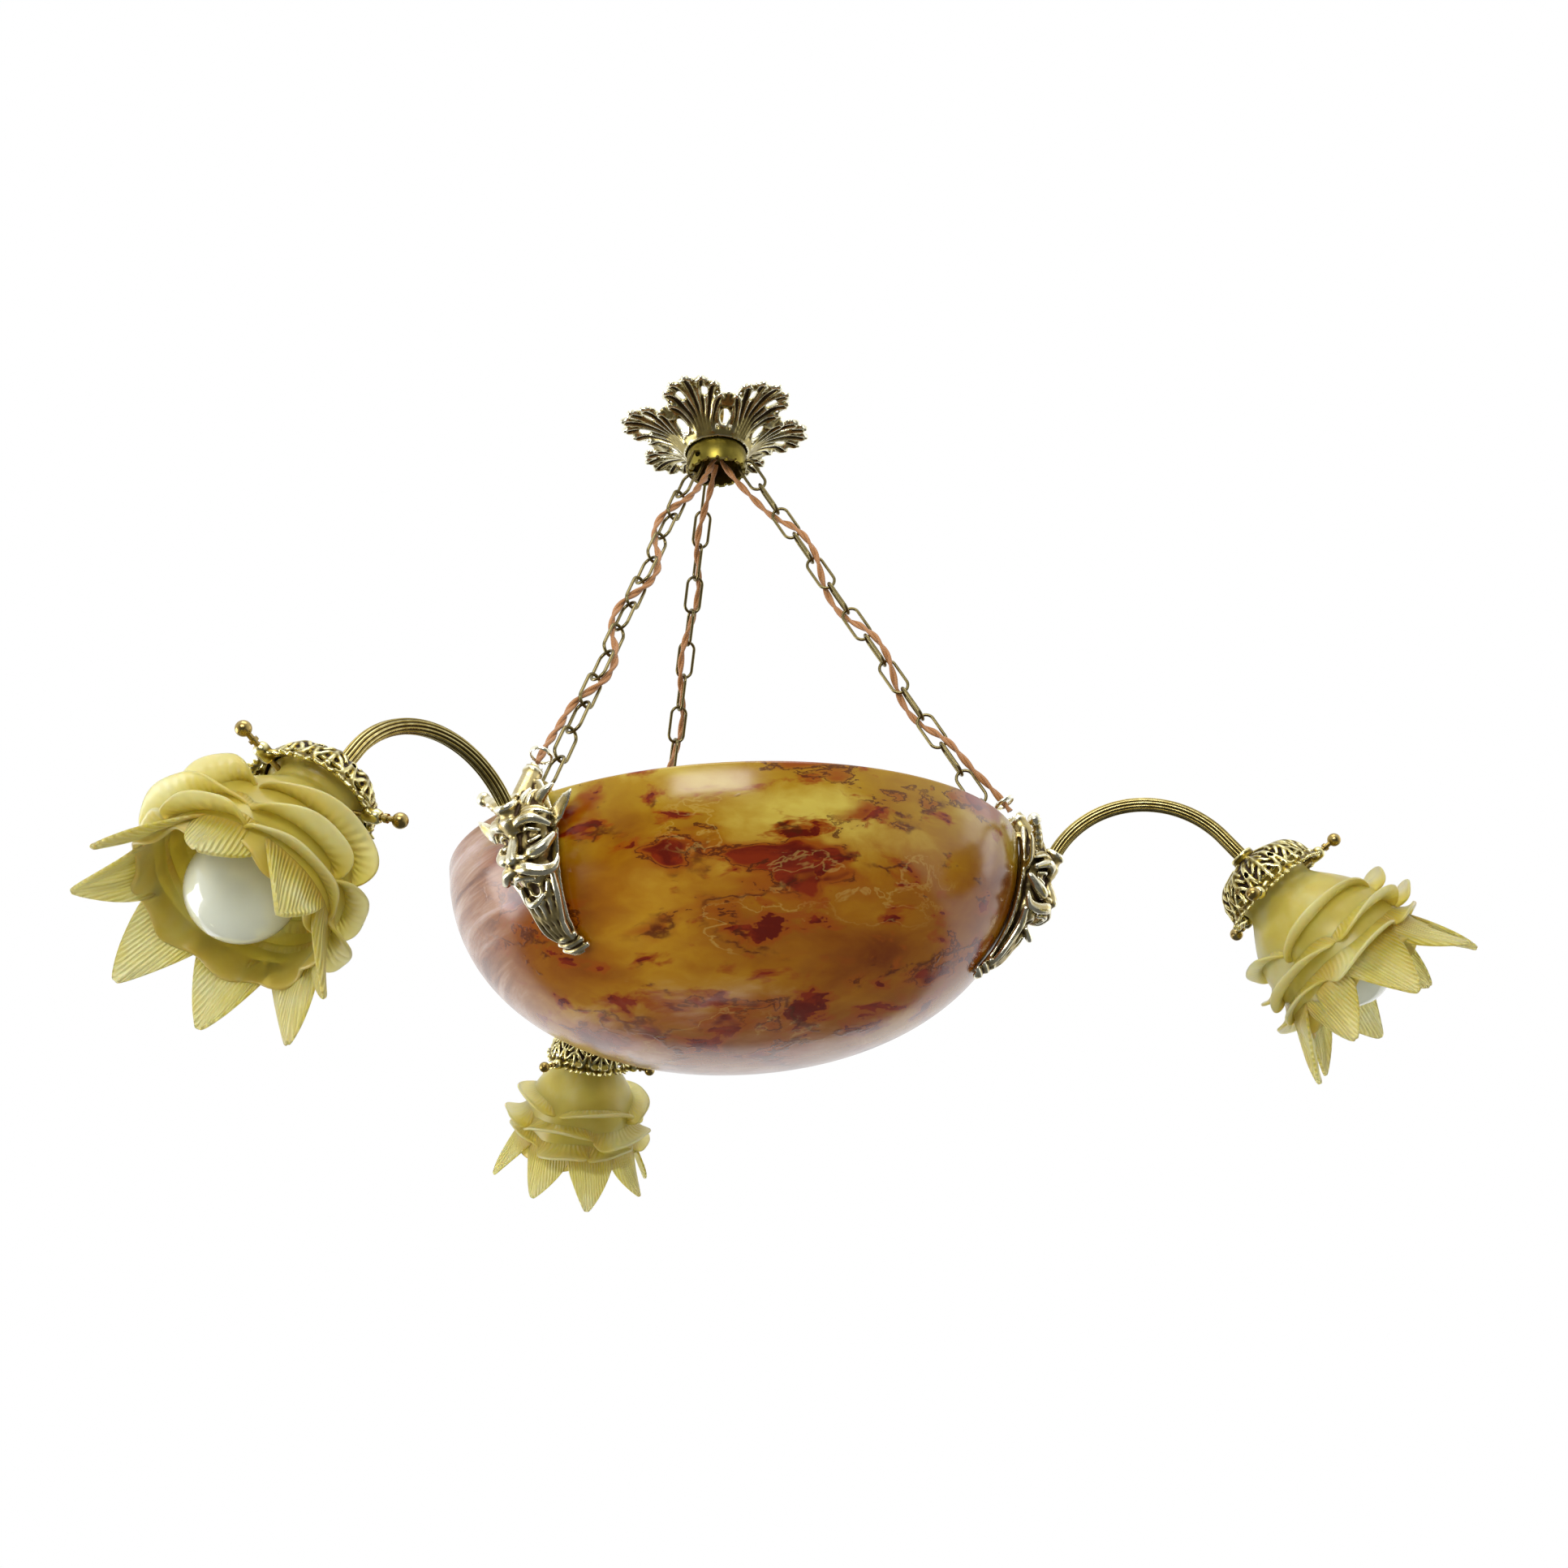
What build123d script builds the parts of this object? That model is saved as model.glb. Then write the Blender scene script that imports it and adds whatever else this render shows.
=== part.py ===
from build123d import *
import os
from math import asin, cos, degrees, pi, radians, sin, sqrt, tan

# Alabaster bowl pendant: an acanthus ceiling crown, three chains with silk flex woven through them, a carved
# alabaster bowl held by three satyr mask brackets, and three arms with pierced galleries and ruffled glass shades.
# Millimetres, +Z up. The origin is the centre of the hanging eye's bore. One arm points along +Y.

os.makedirs("parts", exist_ok=True)

# ---------------------------------------------------------------- driving dimensions
arm_azimuths = {"back": 90.0, "left": 210.0, "right": 330.0}
seat_gap = 0.3              # between curved faces that rest on each other
fit_gap = 0.05              # radial clearance of a spigot, shank or nut on its hole

# hanging eye
eye_bore = 8.0              # radius of the bore that takes the ceiling hook
eye_rim = 5.5               # width of the ring round the bore
eye_thickness = 6.0
eye_shank_radius = 4.0
eye_shoulder_radius = 9.0
eye_shoulder_height = 4.0
eye_nut_across = 13.0
eye_nut_height = 5.0
eye_shank_end = 1.5         # thread below the nut

# crown and collar
mouth_depth = 50.0          # bore centre down to the collar's mouth
collar_height = 22.0
collar_radius = 22.0
collar_bulge = 1.6
collar_wall = 2.6
collar_notches = 18
collar_notch_radius = 1.5
disc_thickness = 3.0
leaf_count = 6
leaf_turn = -9.0            # azimuth of the first leaf
leaf_reach = 77.0
leaf_rise = 44.5            # leaf tips above the collar's mouth
crown_wall = 3.2
crown_web_radius = 43.0
crown_eye_radius = 4.4
crown_eye_place = 34.0
leaf_hole_radius = 3.0
leaf_hole_place = 57.0
wiring_hole_radius = 3.4
wiring_hole_place = 13.0
wiring_hole_azimuth = 30.0

# terminal block, on the crown's hub
block_length = 18.0
block_width = 8.5
block_height = 9.0
block_place = 14.0          # behind the pendant's axis
block_pitch = 5.5           # between two ways
block_wire_radius = 1.6
block_screw_radius = 1.4

# chains
link_length = 30.8
link_width = 14.5
link_wire = 2.3
link_count = 14
link_play = 0.15            # between two links that hang in each other
chain_hole_radius = 2.6     # in the collar
chain_hole_rise = 6.5       # link wire above the collar's mouth
chain_seat_gap = 0.4        # link wire to the top of the lug's hole

# flex
flex_diameter = 5.2
flex_end_drop = 9.5         # flex end above the collar's mouth
flex_end_place = 3.6        # flex end from the pendant's axis

# bowl
bowl_radius = 200.0
bowl_depth = 140.0
bowl_wall = 9.0
bowl_fullness = 2.18        # exponent of the superellipse that the wall follows
bowl_edge = 2.0
screw_depth = 22.0          # bracket screws below the rim

# brackets
hook_inset = 10.0           # lug's hole inside the bowl's outer edge
hook_rise = 8.0             # link wire above the rim
hook_hole_radius = 3.2
hook_rim = 2.6
hook_thickness = 3.0
tongue_width = 16.0
tongue_thickness = 4.0
leg_thickness = 3.0
leg_length = 27.0
mask_height = 100.0         # rim down to the foot
mask_plate = 5.0
brow_level = 23.0           # these four below the rim
nose_level = 44.0
lip_level = 57.0
mouth_level = 67.0
beard_ribs = 5
trumpet_offset = 13.0       # trumpet axis outward of the chain axis
trumpet_radius = 5.8
trumpet_mouth_radius = 7.8
trumpet_bore = 4.6
trumpet_reach = 19.0        # mouth above the lug's hole, along the chain
trumpet_root = 24.0         # down into the mask

# fixing screws
screw_radius = 2.5
screw_head_radius = 5.0
screw_head_height = 3.0
screw_length = 28.0
screw_play = 0.2            # radial, in washers and spider
washer_radius = 7.0
washer_thickness = 1.2
felt_thickness = 1.7
bowl_hole_radius = 3.5

# arms
arch_radius = 70.0
arch_reach = 82.0           # arch's centre outside the bowl's outer edge
arch_drop = 51.5            # below the rim
arch_half_angle = 55.0      # from the crown of the arch to each end
arm_drop_run = 17.0         # straight run after the arch
arm_radius = 5.0
arm_reeds = 12
arm_bore = 2.6
spigot_radius = 4.0
arm_root_length = 12.0      # into the mask's boss
arm_tip_length = 16.0       # through gallery, nut and lampholder cap
boss_radius = 7.6
boss_length = 20.0

# galleries
gallery_collar_radius = 8.6
gallery_collar_height = 7.0
gallery_depth = 34.0
gallery_radius = 35.4
gallery_wall = 2.2
gallery_leaf_reach = 4.0
gallery_leaves = 9
gallery_hole_radius = 2.6
lug_radius = 4.6
lug_reach = 41.0
locknut_height = 4.0
locknut_across = 15.0

# thumbscrews
thumb_count = 3
thumb_level = 32.4          # along the shade's axis from the arm's end
thumb_radius = 1.6
thumb_ball_radius = 4.5
thumb_ball_place = 54.7
thumb_turn = {"back": 0.0, "left": 0.0, "right": 0.0}

# shades
neck_radius = 25.6          # with the lip, a 57 mm fitter
lip_reach = 3.0
shade_top = 24.0
shade_wall = 2.8
shade_body_radius = 50.0
shade_mouth_place = 116.0
shade_mouth_radius = 54.0
tier_one_place = 60.0
tier_one_radius = 56.0
tier_one_lobes = 8
tier_two_place = 104.0
tier_two_radius = 63.0
tier_two_lobes = 8
petal_count = 8
petal_reach = 72.0
petal_place = 148.0
petal_valley = 57.0

# lampholders and bulbs
holder_radius = 17.0
holder_length = 40.0
holder_cavity_depth = 20.0
cap_radius = 13.2
cap_gap = 0.4
bulb_radius = 29.0
bulb_place = 100.0          # bulb centre along the shade's axis
bulb_neck_radius = 14.0

# lamp inside the bowl
spider_level = 12.0         # top of the legs below the rim
spider_thickness = 2.0
spider_width = 11.0
spider_hub_radius = 24.0
bowl_holder_radius = 15.0
bowl_holder_length = 42.0
bowl_bulb_radius = 22.5
bowl_bulb_drop = 32.0       # bulb centre below the holder

# ---------------------------------------------------------------- places worked out from them
hook_radius = bowl_radius - hook_inset
arch_centre = bowl_radius + arch_reach
wire_radius = link_wire / 2
flex_radius = flex_diameter / 2
mouth_z = -mouth_depth
disc_top_z = mouth_z + collar_height
link_span = link_length - link_wire
link_pitch = link_span - link_wire - link_play
chain_length = link_count * link_span - (link_count - 1) * (link_wire + link_play)
chain_top_radius = collar_radius - collar_wall / 2
chain_top_z = mouth_z + chain_hole_rise
chain_spread = hook_radius - chain_top_radius
chain_drop = sqrt(chain_length**2 - chain_spread**2)
rim_z = chain_top_z - chain_drop - hook_rise
chain_angle = degrees(asin(chain_spread / chain_length))

chain_down = Vector(sin(radians(chain_angle)), 0, -cos(radians(chain_angle)))
chain_in = Vector(-cos(radians(chain_angle)), 0, -sin(radians(chain_angle)))
hook_point = Vector(hook_radius, 0, hook_rise)
chain_top_point = hook_point - chain_down * chain_length

arch_start = 90 + arch_half_angle
arch_end = 90 - arch_half_angle
arm_root = Vector(arch_centre + arch_radius * cos(radians(arch_start)), 0,
                  arch_radius * sin(radians(arch_start)) - arch_drop)
arm_bend = Vector(arch_centre + arch_radius * cos(radians(arch_end)), 0,
                  arch_radius * sin(radians(arch_end)) - arch_drop)
root_way = Vector(-sin(radians(arch_start)), 0, cos(radians(arch_start)))
shade_way = Vector(sin(radians(arch_end)), 0, -cos(radians(arch_end)))
arm_tip = arm_bend + shade_way * arm_drop_run
shade_plane = Plane(origin=arm_tip, x_dir=Vector(-shade_way.Z, 0, shade_way.X), z_dir=shade_way)
gallery_floor = gallery_collar_height + gallery_wall + 0.4
holder_start = gallery_floor + locknut_height


def at_arm(shape, azimuth):
    """Move a shape drawn in the plane of one arm, with the rim at z 0, to its place on the pendant."""
    return Rot(0, 0, azimuth) * Pos(0, 0, rim_z) * shape


def rod(start, end, radius):
    """A round rod between two points."""
    way = end - start
    plane = Plane(origin=start, z_dir=way)
    return plane * Cylinder(radius, way.length, align=(Align.CENTER, Align.CENTER, Align.MIN))


def cone(start, end, radius_start, radius_end):
    """A round cone between two points."""
    way = end - start
    plane = Plane(origin=start, z_dir=way)
    return plane * Cone(radius_start, radius_end, way.length, align=(Align.CENTER, Align.CENTER, Align.MIN))


def drum(radius, bottom, top):
    """A cylinder on the local Z axis, from one level to another."""
    return Pos(0, 0, bottom) * Cylinder(radius, top - bottom, align=(Align.CENTER, Align.CENTER, Align.MIN))


def hexagon(across, bottom, top):
    """A hexagonal prism on the local Z axis."""
    return Pos(0, 0, bottom) * extrude(RegularPolygon(across / sqrt(3), 6), top - bottom)


def spun(points):
    """A solid of revolution about Z from a closed outline of (radius, height) corners."""
    outline = Polyline(*[(r, 0, z) for r, z in points], close=True)
    return revolve(make_face(outline), axis=Axis.Z)


def superellipse(radius, depth, turn):
    """Point on the bowl's section: turn is 0 at the rim and 90 at the bottom."""
    power = 2 / bowl_fullness
    return radius * cos(radians(turn)) ** power, -depth * sin(radians(turn)) ** power


def bowl_curve(radius, depth):
    """The bowl's section from rim to bottom, as one smooth curve in the XZ plane."""
    points = [superellipse(radius, depth, turn) for turn in range(0, 90, 15)] + [(0, -depth)]
    return Spline(*[(r, 0, z) for r, z in points], tangents=[(0, 0, -1), (-1, 0, 0)])


def bowl_radius_at(depth, gap=0.0):
    """Radius of the bowl's outside, grown by a gap, at a depth below the rim."""
    return (bowl_radius + gap) * (1 - (depth / (bowl_depth + gap)) ** bowl_fullness) ** (1 / bowl_fullness)


def filled_bowl(radius, depth, top=0.0):
    """A solid of the bowl's outer shape, for cutting what rests on it."""
    curve = bowl_curve(radius, depth)
    outline = [curve, Line((0, 0, -depth), (0, 0, top)), Line((0, 0, top), (radius, 0, top))]
    if top > 0:
        outline.append(Line((radius, 0, top), (radius, 0, 0)))
    return revolve(make_face(outline), axis=Axis.Z)


# ---------------------------------------------------------------- crown, collar and eye
def make_hanging_eye():
    """Ring on a shank, with a shoulder that rests on the crown's hub."""
    shoulder_bottom = disc_top_z + disc_thickness
    shoulder_top = shoulder_bottom + eye_shoulder_height
    ring_radius = eye_bore + eye_rim
    ring = Rot(0, 90, 0) * Cylinder(ring_radius, eye_thickness)
    ring = fillet(ring.edges(), 1.2)
    shank_bottom = disc_top_z - disc_thickness - eye_nut_height - eye_shank_end
    eye = ring + drum(eye_shank_radius, shank_bottom, -eye_bore - 1)
    eye += drum(eye_shoulder_radius, shoulder_bottom, shoulder_top)
    eye += Pos(0, 0, shoulder_top) * Cone(eye_shoulder_radius - 2, eye_shank_radius, 6,
                                          align=(Align.CENTER, Align.CENTER, Align.MIN))
    return eye - Rot(0, 90, 0) * Cylinder(eye_bore, 2 * eye_thickness)


def make_eye_nut():
    top = disc_top_z - disc_thickness
    return hexagon(eye_nut_across, top - eye_nut_height, top) - drum(eye_shank_radius + fit_gap, mouth_z, top + 1)


def leaf_footprint():
    """One acanthus leaf seen from below, along +X: a blade with rounded side lobes and a rounded tip."""
    lobe = leaf_reach / 14
    blade = make_face(Polyline((10, -8), (0.52 * leaf_reach, -11), (0.82 * leaf_reach, -10),
                               (leaf_reach - lobe, 0), (0.82 * leaf_reach, 10), (0.52 * leaf_reach, 11),
                               (10, 8), close=True))
    blade += Pos(leaf_reach - lobe, 0) * Circle(lobe)
    for place, side, size in ((0.86, 8.0, 1.05), (0.73, 13.5, 1.0), (0.60, 14.5, 0.9)):
        for sign in (-1, 1):
            blade += Pos(place * leaf_reach, sign * side) * Circle(lobe * size)
    return blade


def make_crown():
    """Cast rose: a flared shell cut to six pierced leaves, with a flat hub for the eye."""
    tip_z = mouth_z + leaf_rise
    hub_radius = collar_radius - collar_wall
    base_z = disc_top_z - 6
    under = Spline((hub_radius + 1, 0, base_z), (0.42 * leaf_reach, 0, base_z + 12.5),
                   (0.66 * leaf_reach, 0, tip_z - 5), (leaf_reach, 0, tip_z - crown_wall),
                   tangents=[(0.55, 0, 1), (1, 0, -0.15)])
    over = Spline((leaf_reach, 0, tip_z), (0.66 * leaf_reach - 1, 0, tip_z - 5 + crown_wall),
                  (0.42 * leaf_reach - 2, 0, base_z + 14.5), (hub_radius + 1, 0, base_z + 8),
                  tangents=[(-1, 0, 0.15), (-0.55, 0, -1)])
    rim_line = Line(under @ 1, over @ 0)
    root_line = Line(over @ 1, under @ 0)
    shell = revolve(make_face([under, rim_line, over, root_line]), axis=Axis.Z)
    footprint = Circle(crown_web_radius)
    for number in range(leaf_count):
        footprint += Rot(0, 0, leaf_turn + number * 360 / leaf_count) * leaf_footprint()
    for number in range(leaf_count):
        turn = leaf_turn + number * 360 / leaf_count
        footprint -= Rot(0, 0, turn) * Pos(leaf_hole_place, 0) * Circle(leaf_hole_radius)
        footprint -= Rot(0, 0, turn + 180 / leaf_count) * Pos(crown_eye_place, 0) * Circle(crown_eye_radius)
    leaves = shell & (Pos(0, 0, mouth_z) * extrude(footprint, mouth_depth + leaf_reach))
    hub = drum(hub_radius + 2.5, disc_top_z, disc_top_z + disc_thickness)
    crown = leaves + hub - drum(eye_shank_radius + fit_gap, mouth_z, 0)
    crown -= Rot(0, 0, wiring_hole_azimuth) * Pos(wiring_hole_place, 0) * drum(wiring_hole_radius, mouth_z, 0)
    keep_out = drum(collar_radius + collar_bulge + seat_gap, mouth_z - 1, disc_top_z)
    return crown - keep_out


def make_collar():
    """Bulged ring with a notched lower edge, a top disc and three holes that carry the chains."""
    inside = collar_radius - collar_wall
    bulge = ThreePointArc((collar_radius, 0, mouth_z),
                          (collar_radius + collar_bulge, 0, mouth_z + 0.4 * collar_height),
                          (collar_radius - 1, 0, disc_top_z))
    outline = [bulge, Line(bulge @ 1, (0, 0, disc_top_z)),
               Line((0, 0, disc_top_z), (0, 0, disc_top_z - disc_thickness)),
               Line((0, 0, disc_top_z - disc_thickness), (inside, 0, disc_top_z - disc_thickness)),
               Line((inside, 0, disc_top_z - disc_thickness), (inside, 0, mouth_z)),
               Line((inside, 0, mouth_z), (collar_radius, 0, mouth_z))]
    collar = revolve(make_face(outline), axis=Axis.Z)
    collar -= drum(eye_shank_radius + fit_gap, mouth_z, 0)
    collar -= Rot(0, 0, wiring_hole_azimuth) * Pos(wiring_hole_place, 0) * drum(wiring_hole_radius, mouth_z, 0)
    for azimuth in arm_azimuths.values():
        hole = Pos(collar_radius, 0, chain_top_z) * Rot(0, 90, 0) * Cylinder(chain_hole_radius, 4 * collar_wall)
        collar -= Rot(0, 0, azimuth) * hole
    for number in range(collar_notches):
        notch = Pos(collar_radius, 0, mouth_z) * Rot(0, 90, 0) * Cylinder(collar_notch_radius, 4 * collar_wall)
        collar -= Rot(0, 0, (number + 0.5) * 360 / collar_notches) * notch
    return collar


def make_terminal_block():
    """Porcelain connector on the crown's hub, where the three flexes join the supply."""
    base = disc_top_z + disc_thickness
    block = Pos(0, 0, base) * Box(block_length, block_width, block_height,
                                  align=(Align.CENTER, Align.CENTER, Align.MIN))
    for place in (-block_pitch, 0, block_pitch):
        block -= Pos(place, 0, base + block_height / 2) * Rot(90, 0, 0) * Cylinder(block_wire_radius,
                                                                                  2 * block_width)
        block -= Pos(place, 0, base) * drum(block_screw_radius, 0.7 * block_height, block_height + 1)
    return Pos(0, -block_place, 0) * block


# ---------------------------------------------------------------- chains and flex
def make_link():
    """One oval link in its local XZ plane, its upper bow's wire centre at the origin, hanging down -Z."""
    half = (link_width - link_wire) / 2
    straight = link_span - 2 * half
    lower_bow = Pos(0, 0, -half - straight) * revolve(Plane.XY * Pos(half, 0) * Circle(wire_radius),
                                                      axis=Axis.Y, revolution_arc=180)
    upper_bow = Pos(0, 0, -half) * Rot(0, 180, 0) * revolve(Plane.XY * Pos(half, 0) * Circle(wire_radius),
                                                            axis=Axis.Y, revolution_arc=180)
    link = lower_bow + upper_bow
    for sign in (-1, 1):
        link += Pos(sign * half, 0, -half - straight) * Cylinder(
            wire_radius, straight, align=(Align.CENTER, Align.CENTER, Align.MIN))
    return link


def chain_point(along, inward, across):
    """Point beside the chain: along it from its top, inward of it and across it."""
    return chain_top_point + chain_down * along + chain_in * inward + Vector(0, 1, 0) * across


def make_chain():
    """Links turned a quarter from one to the next; the last one lies across the lug's plate."""
    link = make_link()
    links = []
    for number in range(link_count):
        flat = (link_count - 1 - number) % 2 == 0
        side = Vector(0, 1, 0) if flat else chain_in
        plane = Plane(origin=chain_point(number * link_pitch, 0, 0), x_dir=side, z_dir=chain_down * -1)
        links.append(plane * link)
    return links


# The flex starts inside the collar, joins the chain, and crosses from one corner between the links to the
# opposite one through every second link; it ends inside the trumpet.
weave_side = 5.2            # flex centre from the chain's two link planes, between crossings
weave_half_run = 0.5 * link_pitch
weave_links = (3, 5, 7, 9, 11)
flex_start = Vector(flex_end_place, 0, mouth_z + flex_end_drop - rim_z)


def flex_points():
    points = [flex_start, chain_point(8, 13.4, 0.6), chain_point(30, 9.4, 3.6)]
    side = weave_side
    for number in weave_links:
        middle = (number - 1) * link_pitch + link_span / 2
        points.append(chain_point(middle - weave_half_run, side, side))
        points.append(chain_point(middle + weave_half_run, -side, -side))
        side = -side
    trumpet_mouth = chain_length - trumpet_reach
    points.append(chain_point(trumpet_mouth - 33, -6.6, -5.4))
    points.append(chain_point(trumpet_mouth - 8, -trumpet_offset + 0.9, -1.4))
    points.append(chain_point(trumpet_mouth + 9, -trumpet_offset, 0))
    return points


def corner_radii(points):
    """For each corner, 0.45 of the shorter run beside it over the tangent of half the turn."""
    radii = []
    for before, corner, after in zip(points, points[1:], points[2:]):
        run_in = corner - before
        run_out = after - corner
        half_turn = radians(run_in.get_angle(run_out) / 2)
        radii.append(0.45 * min(run_in.length, run_out.length) / tan(half_turn))
    return radii


def make_flex(name):
    points = flex_points()
    radii = corner_radii(points)
    path = FilletPolyline(*points, radius=radii)
    section = Plane(origin=path @ 0, z_dir=path % 0) * Circle(flex_radius)
    tube = sweep(section, path=path)
    share = tube.volume / (pi * flex_radius**2 * path.length)
    print(f"flex_{name}: length {path.length:.1f} mm, volume share {share:.4f}, radii",
          " ".join(f"{radius:.0f}" for radius in radii))
    return tube


# ---------------------------------------------------------------- bowl
def screw_axis(radius, start, end):
    """A cylinder on a bracket screw's axis, from one distance from the pendant's axis to another."""
    return Pos(start, 0, -screw_depth) * Rot(0, 90, 0) * Cylinder(
        radius, end - start, align=(Align.CENTER, Align.CENTER, Align.MIN))


def make_bowl():
    bowl = filled_bowl(bowl_radius, bowl_depth) - filled_bowl(bowl_radius - bowl_wall, bowl_depth - bowl_wall)
    for azimuth in arm_azimuths.values():
        bowl -= Rot(0, 0, azimuth) * screw_axis(bowl_hole_radius, bowl_radius - 2 * bowl_wall, bowl_radius + 5)
    rim_edges = bowl.edges().filter_by(GeomType.CIRCLE).group_by(Axis.Z)[-1]
    return fillet(rim_edges, bowl_edge)


bowl = make_bowl()
bowl_envelope = filled_bowl(bowl_radius + seat_gap, bowl_depth + seat_gap)

# the stack on each bracket screw, from the bowl's inner wall inward
wall_inside = bowl_radius_at(screw_depth, -bowl_wall)
leg_outside = wall_inside - felt_thickness
leg_inside = leg_outside - leg_thickness
tab_inside = leg_inside - spider_thickness
washer_inside = tab_inside - washer_thickness
screw_end = washer_inside + screw_length


# ---------------------------------------------------------------- brackets
def mask_plate_solid():
    """A plate that follows the bowl's wall, cut to the mask's front outline."""
    rim_cover = 2.0
    outer = filled_bowl(bowl_radius + seat_gap + mask_plate, bowl_depth + seat_gap + mask_plate, rim_cover)
    inner = filled_bowl(bowl_radius + seat_gap, bowl_depth + seat_gap, rim_cover)
    half_outline = [(rim_cover, 11), (-6, 15), (-18, 23), (-36, 24), (-52, 20), (-64, 16), (-76, 11),
                    (-86, 8.5), (-mask_height, 9)]
    right_side = [(half, level) for level, half in half_outline]
    left_side = [(-half, level) for level, half in reversed(half_outline)]
    front = make_face(Polyline(*right_side, *left_side, close=True))
    prism = Plane(origin=(0, 0, 0), x_dir=(0, 1, 0), z_dir=(1, 0, 0)) * extrude(front, bowl_radius + 3 * mask_plate)
    return (outer - inner) & prism


def mask_face():
    """Satyr's head in plain volumes: skull, brows, cheeks, nose, moustache, beard ribs and clasp."""
    skin = bowl_radius + seat_gap
    face = Pos(skin - 1, 0, -brow_level - 7) * Sphere(21)
    for sign in (-1, 1):
        face += Pos(skin + 14, sign * 9, -brow_level) * Sphere(8)
        face += Pos(skin + 11, sign * 12, -nose_level - 2) * Sphere(10.5)
        ear_root = Vector(skin + 4, sign * 19, 1 - brow_level)
        face += cone(ear_root, ear_root + Vector(3, sign * 14, 11), 7, 1.2)
    face += cone(Vector(skin + 16, 0, -brow_level - 3), Vector(skin + 20.5, 0, 1 - nose_level), 3.5, 5.5)
    face += Pos(skin + 20, 0, -nose_level) * Sphere(6)
    face += rod(Vector(skin + 11, -15, -lip_level), Vector(skin + 11, 15, -lip_level), 6.5)
    foot_level = mask_height - 12
    for number in range(beard_ribs):
        side = 20 * (number / (beard_ribs - 1) - 0.5)
        top = Vector(skin + 2 - abs(side) * 0.3, side, -lip_level - 3)
        foot = Vector(bowl_radius_at(foot_level, 6), side * 0.5, -foot_level)
        face += cone(top, foot, 5.2, 3.4)
    for level, width, radius in ((mask_height - 10, 8, 5.5), (mask_height - 4, 9, 4.5)):
        clasp_radius = bowl_radius_at(level, radius)
        face += rod(Vector(clasp_radius, -width, -level), Vector(clasp_radius, width, -level), radius)
    return face - Pos(skin + 14, 0, -mouth_level) * Sphere(7)


def make_bracket():
    """Mask with arm boss, flex trumpet and horn, and the tongue, leg and lug that go over the rim."""
    head = mask_face()
    head += rod(arm_root, arm_root + root_way * boss_length, boss_radius)
    head += screw_axis(boss_radius, bowl_radius - 2, bowl_radius + 13)
    horn_root = Vector(bowl_radius + 8, -13, -12)
    horn_tip = Vector(bowl_radius + 14, -27, 4)
    head += cone(horn_root, horn_tip, 5, 3)
    head += Pos(*horn_tip) * Sphere(5)
    head += cone(Vector(bowl_radius + 8, 13, -12), Vector(bowl_radius + 10, 22, -1), 5.5, 3)
    outward = chain_in * -1
    trumpet_at_hook = hook_point + outward * trumpet_offset
    trumpet_mouth = trumpet_at_hook - chain_down * trumpet_reach
    trumpet_end = trumpet_at_hook + chain_down * trumpet_root
    head += rod(trumpet_mouth, trumpet_end, trumpet_radius)
    head += cone(trumpet_mouth, trumpet_mouth + chain_down * 8, trumpet_mouth_radius, trumpet_radius)
    head = head - bowl_envelope + mask_plate_solid()
    tongue_length = bowl_radius + 4 - leg_inside
    tongue = Pos(leg_inside, 0, seat_gap) * Box(tongue_length, tongue_width, tongue_thickness,
                                                align=(Align.MIN, Align.CENTER, Align.MIN))
    leg = Pos(leg_inside, 0, -leg_length) * Box(leg_thickness, tongue_width, leg_length + seat_gap + 1,
                                                align=(Align.MIN, Align.CENTER, Align.MIN))
    hole_centre = hook_point + chain_down * (hook_hole_radius - wire_radius - chain_seat_gap)
    lug = Pos(*hole_centre) * Rot(90, 0, 0) * Cylinder(hook_hole_radius + hook_rim, hook_thickness)
    lug_base = Pos(hole_centre.X, 0, seat_gap + 1) * Box(2 * (hook_hole_radius + hook_rim), hook_thickness,
                                                        hole_centre.Z - seat_gap - 1,
                                                        align=(Align.CENTER, Align.CENTER, Align.MIN))
    bracket = head + tongue + leg + lug + lug_base
    bracket -= Pos(*hole_centre) * Rot(90, 0, 0) * Cylinder(hook_hole_radius, 4 * hook_thickness)
    bracket -= rod(arm_root - root_way, arm_root + root_way * (arm_root_length + 1), spigot_radius + fit_gap)
    bracket -= rod(trumpet_mouth - chain_down, trumpet_end - chain_down * 8, trumpet_bore)
    bracket -= cone(trumpet_mouth - chain_down * 0.01, trumpet_mouth + chain_down * 6, trumpet_bore + 1.8,
                    trumpet_bore)
    bracket -= screw_axis(screw_radius + fit_gap, leg_inside - 5, screw_end + 1)
    return bracket


def make_bracket_screw():
    return screw_axis(screw_radius, washer_inside - 0.5, screw_end) + screw_axis(
        screw_head_radius, washer_inside - screw_head_height, washer_inside)


def make_bracket_washer():
    return screw_axis(washer_radius, washer_inside, tab_inside) - screw_axis(
        screw_radius + screw_play, washer_inside - 1, tab_inside + 1)


def make_felt_washer():
    """Felt between the leg and the alabaster, pressed to the wall's curve."""
    washer = screw_axis(washer_radius, leg_outside, wall_inside + 2) - screw_axis(
        screw_radius + screw_play, leg_outside - 1, wall_inside + 3)
    return washer - bowl


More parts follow.
